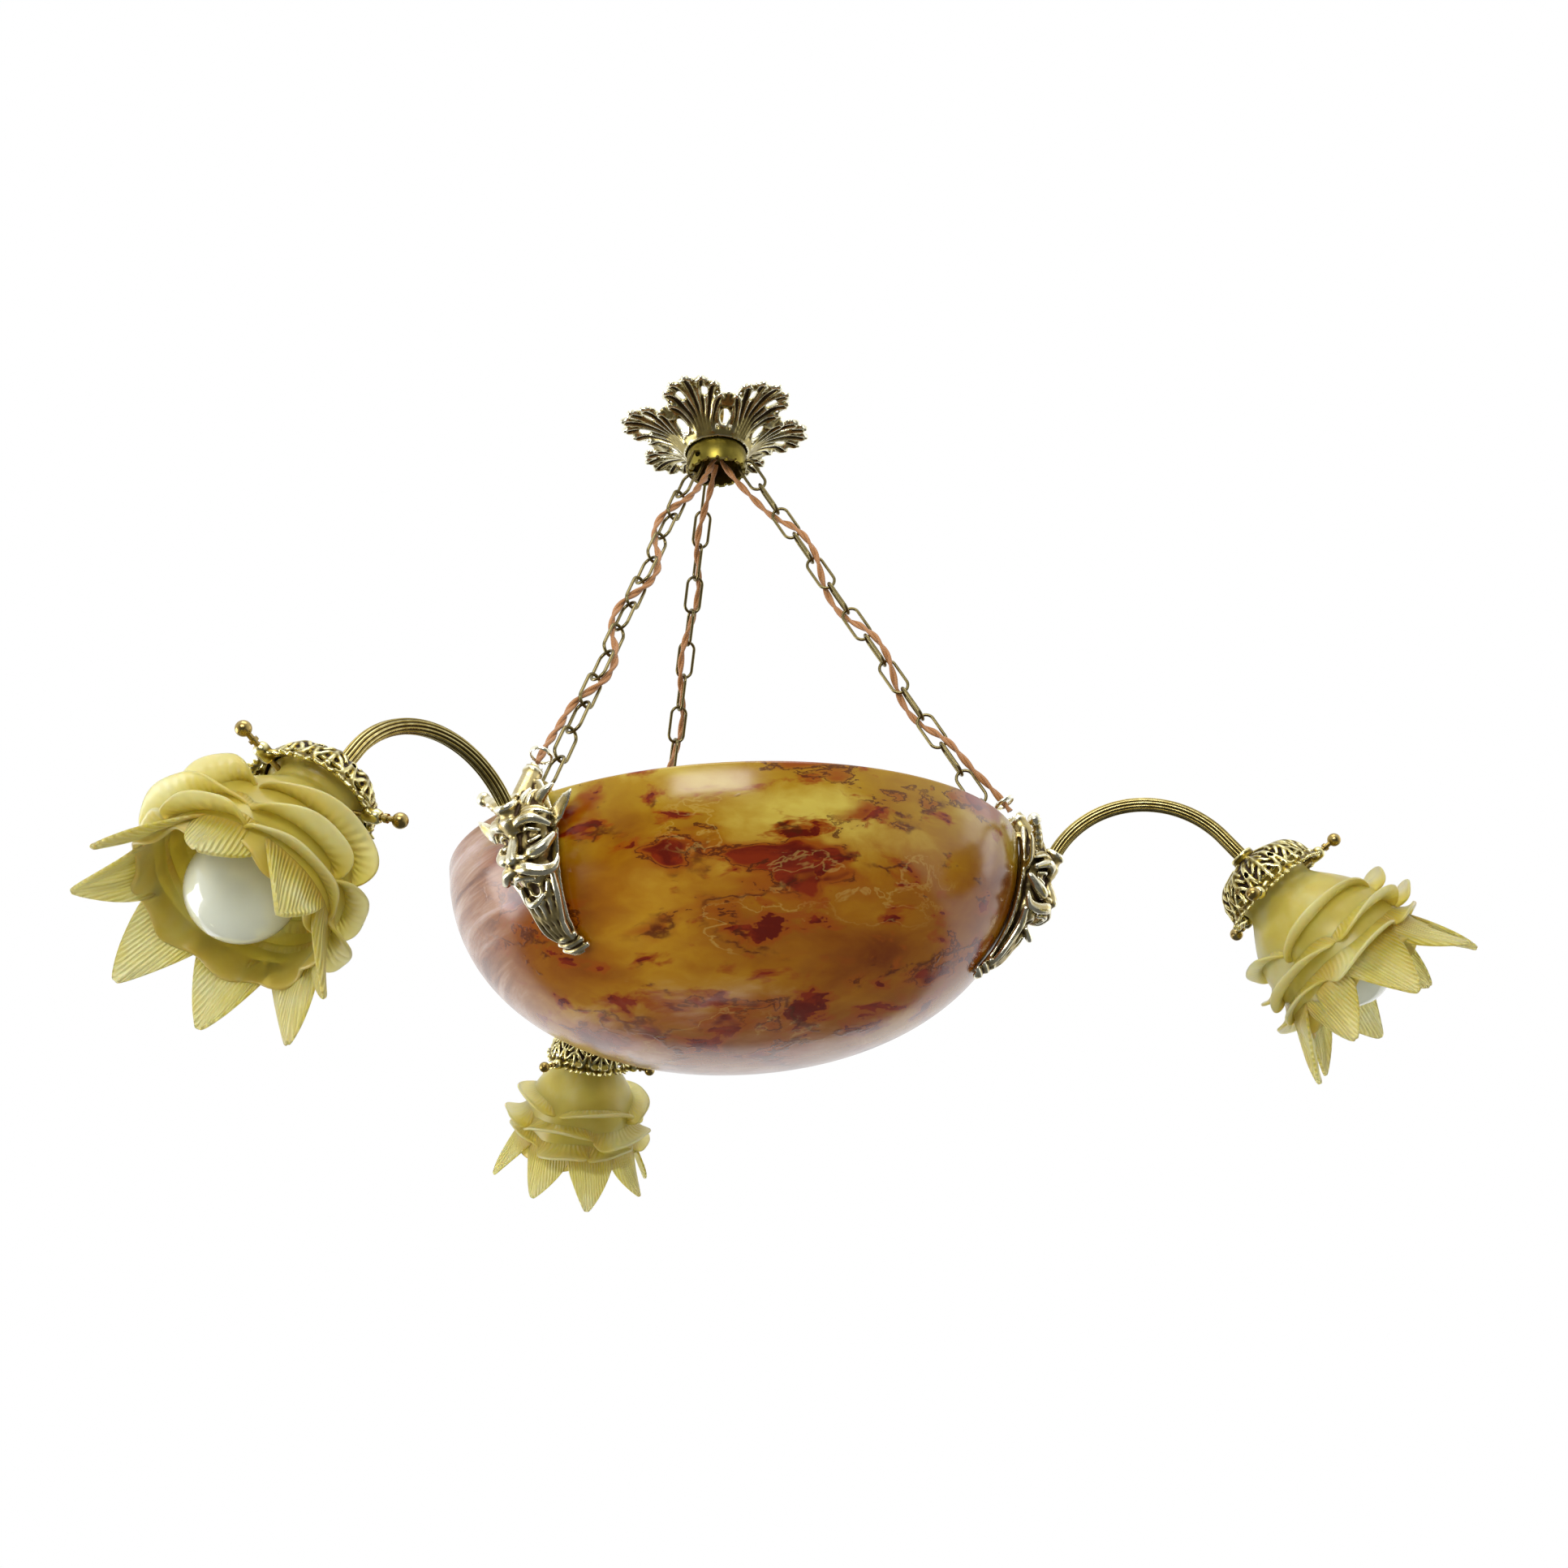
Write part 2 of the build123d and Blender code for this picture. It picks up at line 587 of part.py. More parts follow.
# ---------------------------------------------------------------- arms
def make_arm():
    """Reeded tube: up over an arch and down to the gallery, with a plain spigot at each end."""
    arch = CenterArc((0, 0), arch_radius, arch_end, 2 * arch_half_angle)
    arch_plane = Plane(origin=(arch_centre, 0, -arch_drop), x_dir=(1, 0, 0), z_dir=(0, -1, 0))
    path = (arch_plane * arch).edges()[0]
    reed_radius = 2 * pi * arm_radius / arm_reeds / 4.2
    section = Circle(arm_radius - reed_radius)
    for number in range(arm_reeds):
        section += Rot(0, 0, number * 360 / arm_reeds) * Pos(arm_radius - reed_radius, 0) * Circle(reed_radius)
    arch_tube = sweep(Plane(origin=path @ 0, x_dir=(0, 1, 0), z_dir=path % 0) * section, path=path)
    run_plane = Plane(origin=arm_bend, x_dir=(0, 1, 0), z_dir=shade_way)
    run = run_plane * extrude(section, arm_drop_run)
    arm = arch_tube + run
    arm += rod(arm_root - root_way * 0.5, arm_root + root_way * arm_root_length, spigot_radius)
    arm += rod(arm_tip - shade_way * 0.5, arm_tip + shade_way * arm_tip_length, spigot_radius)
    arm -= sweep(Plane(origin=path @ 0, x_dir=(0, 1, 0), z_dir=path % 0) * Circle(arm_bore), path=path)
    arm -= rod(arm_bend, arm_tip + shade_way * (arm_tip_length + 1), arm_bore)
    arm -= rod(arm_root, arm_root + root_way * (arm_root_length + 1), arm_bore)
    return arm


# ---------------------------------------------------------------- galleries (local Z along the shade's axis)
def make_gallery(turn):
    """Pierced cast cup with a leafy rim and three lugs for the thumbscrews."""
    rim = gallery_radius
    wall = gallery_wall
    top = gallery_collar_height
    floor = gallery_floor
    shoulder = 0.78 * rim
    outer = Spline((gallery_collar_radius, 0, top), (shoulder, 0, top + 8), (rim, 0, gallery_depth),
                   tangents=[(1, 0, 0.15), (0.2, 0, 1)])
    inner = Spline((rim - wall, 0, gallery_depth), (shoulder - 1.4, 0, top + 8 + 1.9),
                   (gallery_collar_radius, 0, floor), tangents=[(-0.2, 0, -1), (-1, 0, -0.15)])
    cup = revolve(make_face([outer, Line(outer @ 1, (0, 0, gallery_depth)), Line((0, 0, gallery_depth), (0, 0, 0)),
                             Line((0, 0, 0), (gallery_collar_radius, 0, 0)),
                             Line((gallery_collar_radius, 0, 0), outer @ 0)]), axis=Axis.Z)
    hollow = revolve(make_face([inner, Line(inner @ 1, (0, 0, floor)),
                                Line((0, 0, floor), (0, 0, gallery_depth + 9)),
                                Line((0, 0, gallery_depth + 9), (rim - wall, 0, gallery_depth + 9)),
                                Line((rim - wall, 0, gallery_depth + 9), inner @ 0)]), axis=Axis.Z)
    for number in range(gallery_leaves):
        cup += Rot(0, 0, (number + 0.5) * 360 / gallery_leaves) * cone(
            Vector(rim - 1.5, 0, gallery_depth - 6), Vector(rim + gallery_leaf_reach, 0, gallery_depth + 2), 5, 1)
    for number in range(thumb_count):
        radial = Plane(origin=(0, 0, thumb_level), x_dir=(0, 0, 1), z_dir=(1, 0, 0))
        cup += Rot(0, 0, turn + number * 360 / thumb_count) * (radial * drum(lug_radius, rim - wall, lug_reach))
    cup -= hollow + drum(spigot_radius + fit_gap, -1, gallery_depth)
    for number in range(thumb_count):
        radial = Plane(origin=(0, 0, thumb_level), x_dir=(0, 0, 1), z_dir=(1, 0, 0))
        hole = radial * drum(thumb_radius + fit_gap, rim - 3 * wall, lug_reach + 1)
        cup -= Rot(0, 0, turn + number * 360 / thumb_count) * hole
    for number in range(2 * thumb_count):
        pierced = Plane(origin=(0, 0, 0.56 * gallery_depth), z_dir=(1, 0, -0.9)) * Cylinder(
            gallery_hole_radius, 2 * rim, align=(Align.CENTER, Align.CENTER, Align.MIN))
        cup -= Rot(0, 0, turn + (number + 0.5) * 180 / thumb_count) * pierced
    return cup


def make_locknut():
    nut = hexagon(locknut_across, gallery_floor, gallery_floor + locknut_height)
    return nut - drum(spigot_radius + fit_gap, 0, gallery_depth)


def make_thumbscrew():
    """Ball-headed screw drawn along +X at its level; its tip rests on the shade's neck."""
    tip = neck_radius + seat_gap
    screw = Rot(0, 90, 0) * drum(thumb_radius, tip, thumb_ball_place)
    screw += Rot(0, 90, 0) * drum(2.7, lug_reach + 4.5, lug_reach + 6.5)
    screw += Pos(thumb_ball_place, 0, 0) * Sphere(thumb_ball_radius)
    return Pos(0, 0, thumb_level) * screw


# ---------------------------------------------------------------- shades
def skirt(start, middle, end, thickness):
    """A thin flared skirt of revolution through three (radius, height) points."""
    outer = ThreePointArc((start[0], 0, start[1]), (middle[0], 0, middle[1]), (end[0], 0, end[1]))
    inner = ThreePointArc((end[0], 0, end[1] + thickness), (middle[0] - 0.5 * thickness, 0, middle[1] + thickness),
                          (start[0], 0, start[1] + 1.3 * thickness))
    return revolve(make_face([outer, Line(outer @ 1, inner @ 0), inner, Line(inner @ 1, outer @ 0)]), axis=Axis.Z)


def make_shade():
    """Glass tulip: neck with a lip, bell body, two ruffled tiers and a star of eight pointed petals."""
    wall = shade_wall
    lip = neck_radius + lip_reach
    neck_end = thumb_level + 5
    waist = 0.86 * shade_body_radius
    belly_place = 0.5 * (tier_one_place + tier_two_place) + 5
    mouth = shade_mouth_place
    outer = Spline((neck_radius, 0, neck_end), (waist, 0, tier_one_place + 2), (shade_body_radius, 0, belly_place),
                   (shade_mouth_radius, 0, mouth), tangents=[(0.35, 0, 1), (0.3, 0, 1)])
    inner = Spline((shade_mouth_radius - wall, 0, mouth), (shade_body_radius - wall, 0, belly_place),
                   (waist - wall, 0, tier_one_place + 2), (neck_radius - wall, 0, neck_end),
                   tangents=[(-0.3, 0, -1), (-0.35, 0, -1)])
    body = revolve(make_face([outer, Line(outer @ 1, (0, 0, mouth)), Line((0, 0, mouth), (0, 0, neck_end)),
                              Line((0, 0, neck_end), outer @ 0)]), axis=Axis.Z)
    far = petal_place + 20
    hollow = revolve(make_face([inner, Line(inner @ 1, (neck_radius - wall, 0, 0)),
                                Line((neck_radius - wall, 0, 0), (0, 0, 0)), Line((0, 0, 0), (0, 0, far)),
                                Line((0, 0, far), (shade_mouth_radius - wall, 0, far)),
                                Line((shade_mouth_radius - wall, 0, far), inner @ 0)]), axis=Axis.Z)
    neck = spun([(0, shade_top), (lip - 1, shade_top), (lip, shade_top + 1), (lip, shade_top + 4),
                 (neck_radius, shade_top + 6.5), (neck_radius, neck_end), (0, neck_end)])
    tier_one = skirt((0.64 * shade_body_radius, tier_one_place - 13), (waist + 4, tier_one_place - 5),
                     (tier_one_radius, tier_one_place), wall)
    tier_two = skirt((shade_body_radius - wall, tier_two_place - 14), (shade_body_radius + 4, tier_two_place - 8),
                     (tier_two_radius, tier_two_place), wall)
    for number in range(tier_one_lobes):
        turn = (number + 0.5) * 360 / tier_one_lobes
        tier_one -= Rot(0, 0, turn) * Pos(tier_one_radius + 4, 0, 0) * drum(8.5, 0, petal_place)
    for number in range(tier_two_lobes):
        turn = (number + 0.2) * 360 / tier_two_lobes
        tier_two -= Rot(0, 0, turn) * Pos(tier_two_radius + 5, 0, 0) * drum(9.5, 0, petal_place)
    petals = skirt((shade_mouth_radius - wall, mouth - 8), (shade_mouth_radius + 5, mouth + 12),
                   (petal_reach, petal_place), wall)
    star = []
    for number in range(petal_count):
        tip_turn = radians(number * 360 / petal_count)
        valley_turn = radians((number + 0.5) * 360 / petal_count)
        star.append(((petal_reach + 2) * cos(tip_turn), (petal_reach + 2) * sin(tip_turn)))
        star.append((petal_valley * cos(valley_turn), petal_valley * sin(valley_turn)))
    petals = petals & extrude(make_face(Polyline(*star, close=True)), far)
    return body + neck + tier_one + tier_two + petals - hollow


# ---------------------------------------------------------------- lampholders and bulbs
def make_holder(radius, length, start):
    """Lampholder: a cap threaded on the tube and an open skirt that takes the bulb's cap."""
    end = start + length
    holder = drum(radius - 3, start, start + 8) + drum(radius, start + 6, end)
    holder -= drum(cap_radius + cap_gap, end - holder_cavity_depth, end + 1)
    return holder - drum(spigot_radius + fit_gap, start - 1, end)


def make_bulb(radius, centre, cap_start, cap_end):
    """Opal bulb on the local Z axis: a round globe on a short neck and a cylindrical cap."""
    neck_drop = sqrt(radius**2 - bulb_neck_radius**2)
    globe = Pos(0, 0, centre) * Sphere(radius)
    neck = Pos(0, 0, cap_end) * Cone(cap_radius - 0.4, bulb_neck_radius, max(centre - neck_drop - cap_end, 1),
                                     align=(Align.CENTER, Align.CENTER, Align.MIN))
    return globe + neck + drum(cap_radius, cap_start, cap_end)


# ---------------------------------------------------------------- lamp inside the bowl
def make_spider():
    """Three flat legs from a hub to the bracket screws."""
    top = -spider_level
    spider = drum(spider_hub_radius, top - spider_thickness, top)
    for azimuth in arm_azimuths.values():
        leg = Pos(0, 0, top - spider_thickness) * Box(leg_inside, spider_width, spider_thickness,
                                                      align=(Align.MIN, Align.CENTER, Align.MIN))
        tab = Pos(tab_inside, 0, top - screw_depth) * Box(spider_thickness, spider_width, screw_depth,
                                                          align=(Align.MIN, Align.CENTER, Align.MIN))
        arm = leg + tab - screw_axis(screw_radius + screw_play, tab_inside - 5, leg_inside + 5)
        spider += Rot(0, 0, azimuth) * arm
    return Pos(0, 0, rim_z) * (spider - drum(spigot_radius + screw_play, top - 10, top + 1))


def make_bowl_nipple():
    """Threaded tube through the hub, with a nut on top."""
    top = -spider_level
    nipple = drum(spigot_radius, top - spider_thickness - 8, top + 7) + hexagon(locknut_across, top, top + 4)
    return Pos(0, 0, rim_z) * (nipple - drum(arm_bore, top - 30, top + 10))


# ---------------------------------------------------------------- build and write every piece
def write(name, *solids):
    """Write one sub-part, or a group of identical ones, to its STEP file."""
    shape = solids[0] if len(solids) == 1 else Compound(children=[Solid(s.solid().wrapped) for s in solids])
    export_step(shape, f"parts/{name}.step")


write("hanging_eye", make_hanging_eye())
write("eye_nut", make_eye_nut())
write("ceiling_crown", make_crown())
write("crown_collar", make_collar())
write("terminal_block", make_terminal_block())
write("alabaster_bowl", Pos(0, 0, rim_z) * bowl)

bracket = make_bracket()
arm = make_arm()
chain = make_chain()
locknut = make_locknut()
thumbscrew = make_thumbscrew()
shade = make_shade()
holder = make_holder(holder_radius, holder_length, holder_start)
holder_end = holder_start + holder_length
bulb = make_bulb(bulb_radius, bulb_place, holder_end - holder_cavity_depth + 2, holder_end + 2)

for name, azimuth in arm_azimuths.items():
    write(f"mask_bracket_{name}", at_arm(bracket, azimuth))
    write(f"arm_{name}", at_arm(arm, azimuth))
    write(f"chain_top_link_{name}", at_arm(chain[0], azimuth))
    write(f"chain_{name}", *[at_arm(link, azimuth) for link in chain[1:]])
    write(f"flex_{name}", at_arm(make_flex(name), azimuth))
    write(f"gallery_{name}", at_arm(shade_plane * make_gallery(thumb_turn[name]), azimuth))
    write(f"glass_shade_{name}", at_arm(shade_plane * shade, azimuth))
    write(f"lampholder_{name}", at_arm(shade_plane * holder, azimuth))
    write(f"bulb_{name}", at_arm(shade_plane * bulb, azimuth))
    for number in range(thumb_count):
        turned = Rot(0, 0, thumb_turn[name] + number * 360 / thumb_count) * thumbscrew
        write(f"thumbscrew_{name}_{number + 1}", at_arm(shade_plane * turned, azimuth))

azimuths = arm_azimuths.values()
write("bracket_screws", *[at_arm(make_bracket_screw(), azimuth) for azimuth in azimuths])
write("bracket_washers", *[at_arm(make_bracket_washer(), azimuth) for azimuth in azimuths])
write("felt_washers", *[at_arm(make_felt_washer(), azimuth) for azimuth in azimuths])
write("gallery_locknuts", *[at_arm(shade_plane * locknut, azimuth) for azimuth in azimuths])

write("bowl_lamp_spider", make_spider())
write("bowl_lamp_nipple", make_bowl_nipple())
down_plane = Plane(origin=(0, 0, rim_z - spider_level - spider_thickness), x_dir=(1, 0, 0), z_dir=(0, 0, -1))
bowl_holder = make_holder(bowl_holder_radius, bowl_holder_length, 0)
write("bowl_lampholder", down_plane * bowl_holder)
write("bowl_bulb", down_plane * make_bulb(bowl_bulb_radius, bowl_holder_length + bowl_bulb_drop,
                                          bowl_holder_length - holder_cavity_depth + 2, bowl_holder_length + 2))
print(f"chain {chain_length:.2f} mm at {chain_angle:.2f} degrees, rim at z {rim_z:.2f}, "
      f"arm tip ({arm_tip.X:.2f}, {arm_tip.Z:.2f})")
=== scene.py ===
# %% [markdown]
# # Alabaster bowl pendant
# The lamp hangs from an acanthus rose on three chains. Silk flex is woven through the links. A polished alabaster
# bowl is held by three cast satyr masks, and each mask carries a reeded arm with a leafy cast cup and a ruffled
# glass shade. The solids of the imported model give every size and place, so this lesson only adds the looks: it
# keeps the turned and drawn parts, gives them good finishes, and models the castings, glass and flex in full.

import bpy
import numpy as np
from math import cos, pi, radians, sin
from mathutils import Matrix, Vector


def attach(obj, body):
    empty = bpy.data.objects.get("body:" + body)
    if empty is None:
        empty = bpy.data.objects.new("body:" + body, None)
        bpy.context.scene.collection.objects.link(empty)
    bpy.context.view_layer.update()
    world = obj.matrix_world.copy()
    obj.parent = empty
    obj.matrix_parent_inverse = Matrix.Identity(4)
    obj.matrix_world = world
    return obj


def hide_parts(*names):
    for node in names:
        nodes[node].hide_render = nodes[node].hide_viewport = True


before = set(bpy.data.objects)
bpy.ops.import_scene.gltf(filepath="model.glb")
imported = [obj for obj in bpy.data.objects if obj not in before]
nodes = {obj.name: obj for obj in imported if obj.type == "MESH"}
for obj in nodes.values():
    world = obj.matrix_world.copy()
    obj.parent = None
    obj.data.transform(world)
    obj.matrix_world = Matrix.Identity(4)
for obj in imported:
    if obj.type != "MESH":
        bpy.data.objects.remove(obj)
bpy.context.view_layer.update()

# %% [markdown]
# All sizes are in millimetres and are the ones the solids were built from. Each arm is drawn once in its own
# plane, with X outward, Z up and the bowl's rim at zero, and then turned to its place round the lamp.

# %% Sizes shared by several pieces
MM = 0.001
ARM_AZIMUTHS = {"back": 90.0, "left": 210.0, "right": 330.0}
RIM_Z = -377.29
MOUTH_Z = -50.0
BOWL_RADIUS, BOWL_DEPTH, BOWL_WALL, BOWL_FULLNESS = 200.0, 140.0, 9.0, 2.18
CHAIN_ANGLE = radians(27.46)
CHAIN_LENGTH = 367.15
LINK_PITCH, LINK_SPAN = 26.05, 28.5
CHAIN_DOWN = Vector((sin(CHAIN_ANGLE), 0, -cos(CHAIN_ANGLE)))
CHAIN_IN = Vector((-cos(CHAIN_ANGLE), 0, -sin(CHAIN_ANGLE)))
HOOK_POINT = Vector((190.0, 0, 8.0))
CHAIN_TOP = HOOK_POINT - CHAIN_DOWN * CHAIN_LENGTH
ARM_ROOT = Vector((224.66, 0, -11.35))
ROOT_WAY = Vector((-0.5736, 0, -0.8192))
ARCH_CENTRE, ARCH_DROP, ARCH_RADIUS, ARCH_HALF = 282.0, 51.5, 70.0, 55.0
ARM_TIP = Vector((349.09, 0, -25.28))
SHADE_WAY = Vector((0.5736, 0, -0.8192))


def arm_matrix(azimuth):
    """From millimetres in the plane of one arm to metres in the lamp."""
    return Matrix.Scale(MM, 4) @ Matrix.Rotation(radians(azimuth), 4, "Z") @ Matrix.Translation((0, 0, RIM_Z))


def shade_matrix(azimuth):
    """From millimetres on a shade's own axis (Z, from the arm's end) to metres in the lamp."""
    across = Vector((0, -1, 0))
    up = Vector((-SHADE_WAY.z, 0, SHADE_WAY.x))
    local = Matrix((up, across, SHADE_WAY)).transposed().to_4x4()
    return arm_matrix(azimuth) @ Matrix.Translation(ARM_TIP) @ local


# %% [markdown]
# Meshes are made from arrays of points. A finished piece has its place in its mesh, so its object stays at the
# origin, and one helper puts a copy of a mesh in each of the three places.

# %% Mesh helpers
def mesh_from(name, points, faces):
    mesh = bpy.data.meshes.new(name)
    mesh.from_pydata([tuple(map(float, p)) for p in points], [], [tuple(map(int, f)) for f in faces])
    mesh.validate()
    mesh.polygons.foreach_set("use_smooth", [True] * len(mesh.polygons))
    return mesh


def new_object(name, mesh):
    piece = bpy.data.objects.new(name, mesh)
    bpy.context.scene.collection.objects.link(piece)
    return piece


def evaluated_mesh(piece, name):
    """The piece with its modifiers as one plain mesh; the piece itself is removed."""
    bpy.context.view_layer.update()
    ready = piece.evaluated_get(bpy.context.evaluated_depsgraph_get())
    mesh = bpy.data.meshes.new_from_object(ready)
    mesh.name = name
    bpy.data.objects.remove(piece)
    return mesh


def grid_faces(rows, columns, closed=False):
    """Quads of a grid of points, row by row; closed joins the last column to the first."""
    faces = []
    for row in range(rows - 1):
        for column in range(columns if closed else columns - 1):
            right = (column + 1) % columns
            faces.append((row * columns + column, row * columns + right,
                          (row + 1) * columns + right, (row + 1) * columns + column))
    return faces


def add_value(mesh, name, values):
    """Store one number for each point, for a material to read."""
    layer = mesh.attributes.new(name, "FLOAT", "POINT")
    layer.data.foreach_set("value", np.asarray(values, dtype=np.float32))


def place_three(name, mesh, matrix_of, material, node):
    """Put the piece on each of the three arms, in place of the solids of that name."""
    for side, azimuth in ARM_AZIMUTHS.items():
        copy = mesh.copy()
        copy.transform(matrix_of(azimuth))
        copy.materials.clear()
        copy.materials.append(material)
        piece = new_object(f"{name}_{side}", copy)
        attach(piece, "bowl")
        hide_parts(f"{node}_{side}")
    bpy.data.meshes.remove(mesh)


# %% [markdown]
# The camera stands low in front of the lamp and looks up at it, as the photograph does. Its place and its lens
# were worked out from points of the lamp that are easy to find in the picture.

# %% Camera
CAMERA_PLACE = Vector((-0.4270, -1.0701, -0.7730))
CAMERA_YAW, CAMERA_PITCH, CAMERA_ROLL = radians(23.63), radians(21.69), radians(-3.36)
CAMERA_LENS = 39.26

forward = Vector((sin(CAMERA_YAW) * cos(CAMERA_PITCH), cos(CAMERA_YAW) * cos(CAMERA_PITCH), sin(CAMERA_PITCH)))
level = Vector((cos(CAMERA_YAW), -sin(CAMERA_YAW), 0))
upright = level.cross(forward)
right_hand = level * cos(CAMERA_ROLL) + upright * sin(CAMERA_ROLL)
overhead = upright * cos(CAMERA_ROLL) - level * sin(CAMERA_ROLL)
camera_data = bpy.data.cameras.new("camera")
camera_data.lens = CAMERA_LENS
camera_data.sensor_width = 36.0
camera_data.clip_end = 50.0
camera = bpy.data.objects.new("camera", camera_data)
camera.location = CAMERA_PLACE
camera.rotation_euler = Matrix((right_hand, overhead, -forward)).transposed().to_euler()
bpy.context.scene.collection.objects.link(camera)
bpy.context.scene.camera = camera
bpy.context.scene.view_settings.view_transform = "Standard"

# %% [markdown]
# Every finish, and the room too, is built from the same few nodes, so short helpers keep them readable. A colour
# of three numbers is written as the eye reads it, from 0 to 255, and turned into the linear values that the
# shaders use. A colour of four numbers is linear already.

# %% Material helpers
def paint(red, green, blue):
    return tuple(((c / 255 + 0.055) / 1.055) ** 2.4 if c > 10 else c / 255 / 12.92 for c in (red, green, blue)) + (1,)


def as_colour(value):
    """Three numbers from 0 to 255 made linear; a linear colour or a socket passes through."""
    return paint(*value) if isinstance(value, tuple) and len(value) == 3 else value


class Finish:
    """A material with one Principled shader, or another node tree, and short calls that add its nodes."""

    def __init__(self, name, tree=None):
        if tree is None:
            self.material = bpy.data.materials.new(name)
            self.material.use_nodes = True
            tree = self.material.node_tree
            self.shader = tree.nodes["Principled BSDF"]
        self.tree = tree

    def node(self, kind, inputs=None, **settings):
        node = self.tree.nodes.new(kind)
        for key, value in settings.items():
            setattr(node, key, value)
        for key, value in (inputs or {}).items():
            if hasattr(value, "is_output"):
                self.tree.links.new(value, node.inputs[key])
            else:
                node.inputs[key].default_value = value
        return node

    def coordinates(self, scale=(1, 1, 1), turn=(0, 0, 0)):
        place = self.node("ShaderNodeTexCoord").outputs["Object"]
        return self.node("ShaderNodeMapping", {"Vector": place, "Scale": scale, "Rotation": turn}).outputs[0]

    def noise(self, vector, scale, detail=4.0, rough=0.55, distortion=0.0):
        return self.node("ShaderNodeTexNoise", {"Vector": vector, "Scale": scale, "Detail": detail,
                                                "Roughness": rough, "Distortion": distortion}).outputs["Fac"]

    def ramp(self, value, stops):
        node = self.node("ShaderNodeValToRGB", {"Fac": value})
        elements = node.color_ramp.elements
        while len(elements) < len(stops):
            elements.new(0.5)
        for element, (position, colour) in zip(elements, stops):
            element.position = position
            element.color = as_colour(colour)
        return node.outputs["Color"]

    def step(self, value, low, high):
        """0 below the first level and 1 above the second, smooth in between."""
        return self.node("ShaderNodeMapRange", {"Value": value, "From Min": low, "From Max": high},
                         interpolation_type="SMOOTHSTEP").outputs["Result"]

    def mix(self, factor, a, b):
        return self.node("ShaderNodeMix", {0: factor, 6: as_colour(a), 7: as_colour(b)}, data_type="RGBA").outputs[2]

    def noise_colour(self, vector, scale, detail):
        return self.node("ShaderNodeTexNoise", {"Vector": vector, "Scale": scale, "Detail": detail}).outputs["Color"]

    def pushed(self, vector, by, share):
        """Coordinates drawn a share of the way towards a noise's colour, so that a pattern on them wanders."""
        return self.node("ShaderNodeMix", {0: share, 4: vector, 5: by}, data_type="VECTOR").outputs[1]

    def math(self, operation, a, b=0.0, c=0.0):
        return self.node("ShaderNodeMath", {0: a, 1: b, 2: c}, operation=operation).outputs[0]

    def thin_line(self, value, level, inner, outer):
        """1 where the value is at the level, 0 where it is further off than the outer distance."""
        off = self.math("ABSOLUTE", self.math("SUBTRACT", value, level))
        return self.math("SUBTRACT", 1.0, self.step(off, inner, outer))

    def attribute(self, name):
        return self.node("ShaderNodeAttribute", attribute_name=name).outputs["Fac"]

    def bump(self, height, strength, distance):
        return self.node("ShaderNodeBump", {"Height": height, "Strength": strength,
                                            "Distance": distance}).outputs["Normal"]

    def set(self, **values):
        for key, value in values.items():
            socket = self.shader.inputs[key.replace("_", " ")]
            if hasattr(value, "is_output"):
                self.tree.links.new(value, socket)
            else:
                socket.default_value = value
        return self


def node_group(name, inputs, outputs):
    """A shader group with named numbers in and named colours or values out."""
    tree = bpy.data.node_groups.new(name, "ShaderNodeTree")
    for label, value in inputs.items():
        kind = "NodeSocketColor" if isinstance(value, tuple) else "NodeSocketFloat"
        tree.interface.new_socket(label, in_out="INPUT", socket_type=kind).default_value = value
    for label, kind in outputs.items():
        tree.interface.new_socket(label, in_out="OUTPUT", socket_type=f"NodeSocket{kind}")
    inner = Finish(name, tree)
    inner.inputs = tree.nodes.new("NodeGroupInput").outputs
    inner.outputs = tree.nodes.new("NodeGroupOutput").inputs
    return inner


# %% [markdown]
# A white room lights the lamp evenly. In reflections it also has a darker side, the far end of the room that the
# lamp faces, so the polished stone shows its own colour there and the brass gets its contrast. A window behind the
# lamp on the left gives the long soft highlight on the flank, a light beside the camera gives the one under the
# rim, and the ceiling and a weak right wall fill the rest. The floor is pale to the eye and dark in reflections.

# %% Room
WHITE = (1, 1, 1, 1)
DARK_SIDE, DARK_END = (-0.36, -0.90, -0.25), (0.05, 0.049, 0.047, 1)

world = bpy.data.worlds.new("room")
bpy.context.scene.world = world
world.use_nodes = True
world.node_tree.nodes.clear()
room = Finish("room", world.node_tree)
ray = room.node("ShaderNodeLightPath").outputs
facing = room.node("ShaderNodeVectorMath", {0: room.node("ShaderNodeTexCoord").outputs["Generated"], 1: DARK_SIDE},
                   operation="DOT_PRODUCT").outputs["Value"]
far_end = room.ramp(facing, [(0.25, WHITE), (0.85, DARK_END)])
room_light = room.node("ShaderNodeBackground", {"Color": (0.98, 0.99, 1.0, 1), "Strength": 0.62})
room_seen = room.node("ShaderNodeBackground", {"Color": room.mix(ray["Is Glossy Ray"], WHITE, far_end)})
looked_at = room.math("MAXIMUM", room.math("MAXIMUM", ray["Is Camera Ray"], ray["Is Glossy Ray"]),
                      ray["Is Transmission Ray"])
chosen = room.node("ShaderNodeMixShader", {0: looked_at, 1: room_light.outputs[0], 2: room_seen.outputs[0]})
room.node("ShaderNodeOutputWorld", {"Surface": chosen.outputs[0]})


# %% Lights and floor
def area_light(name, place, width, height, power):
    light = bpy.data.lights.new(name, "AREA")
    light.shape = "RECTANGLE"
    light.size, light.size_y = width, height
    light.energy = power
    lamp = bpy.data.objects.new(name, light)
    lamp.location = place
    lamp.rotation_euler = (LAMP_MIDDLE - Vector(place)).to_track_quat("-Z", "Y").to_euler()
    bpy.context.scene.collection.objects.link(lamp)


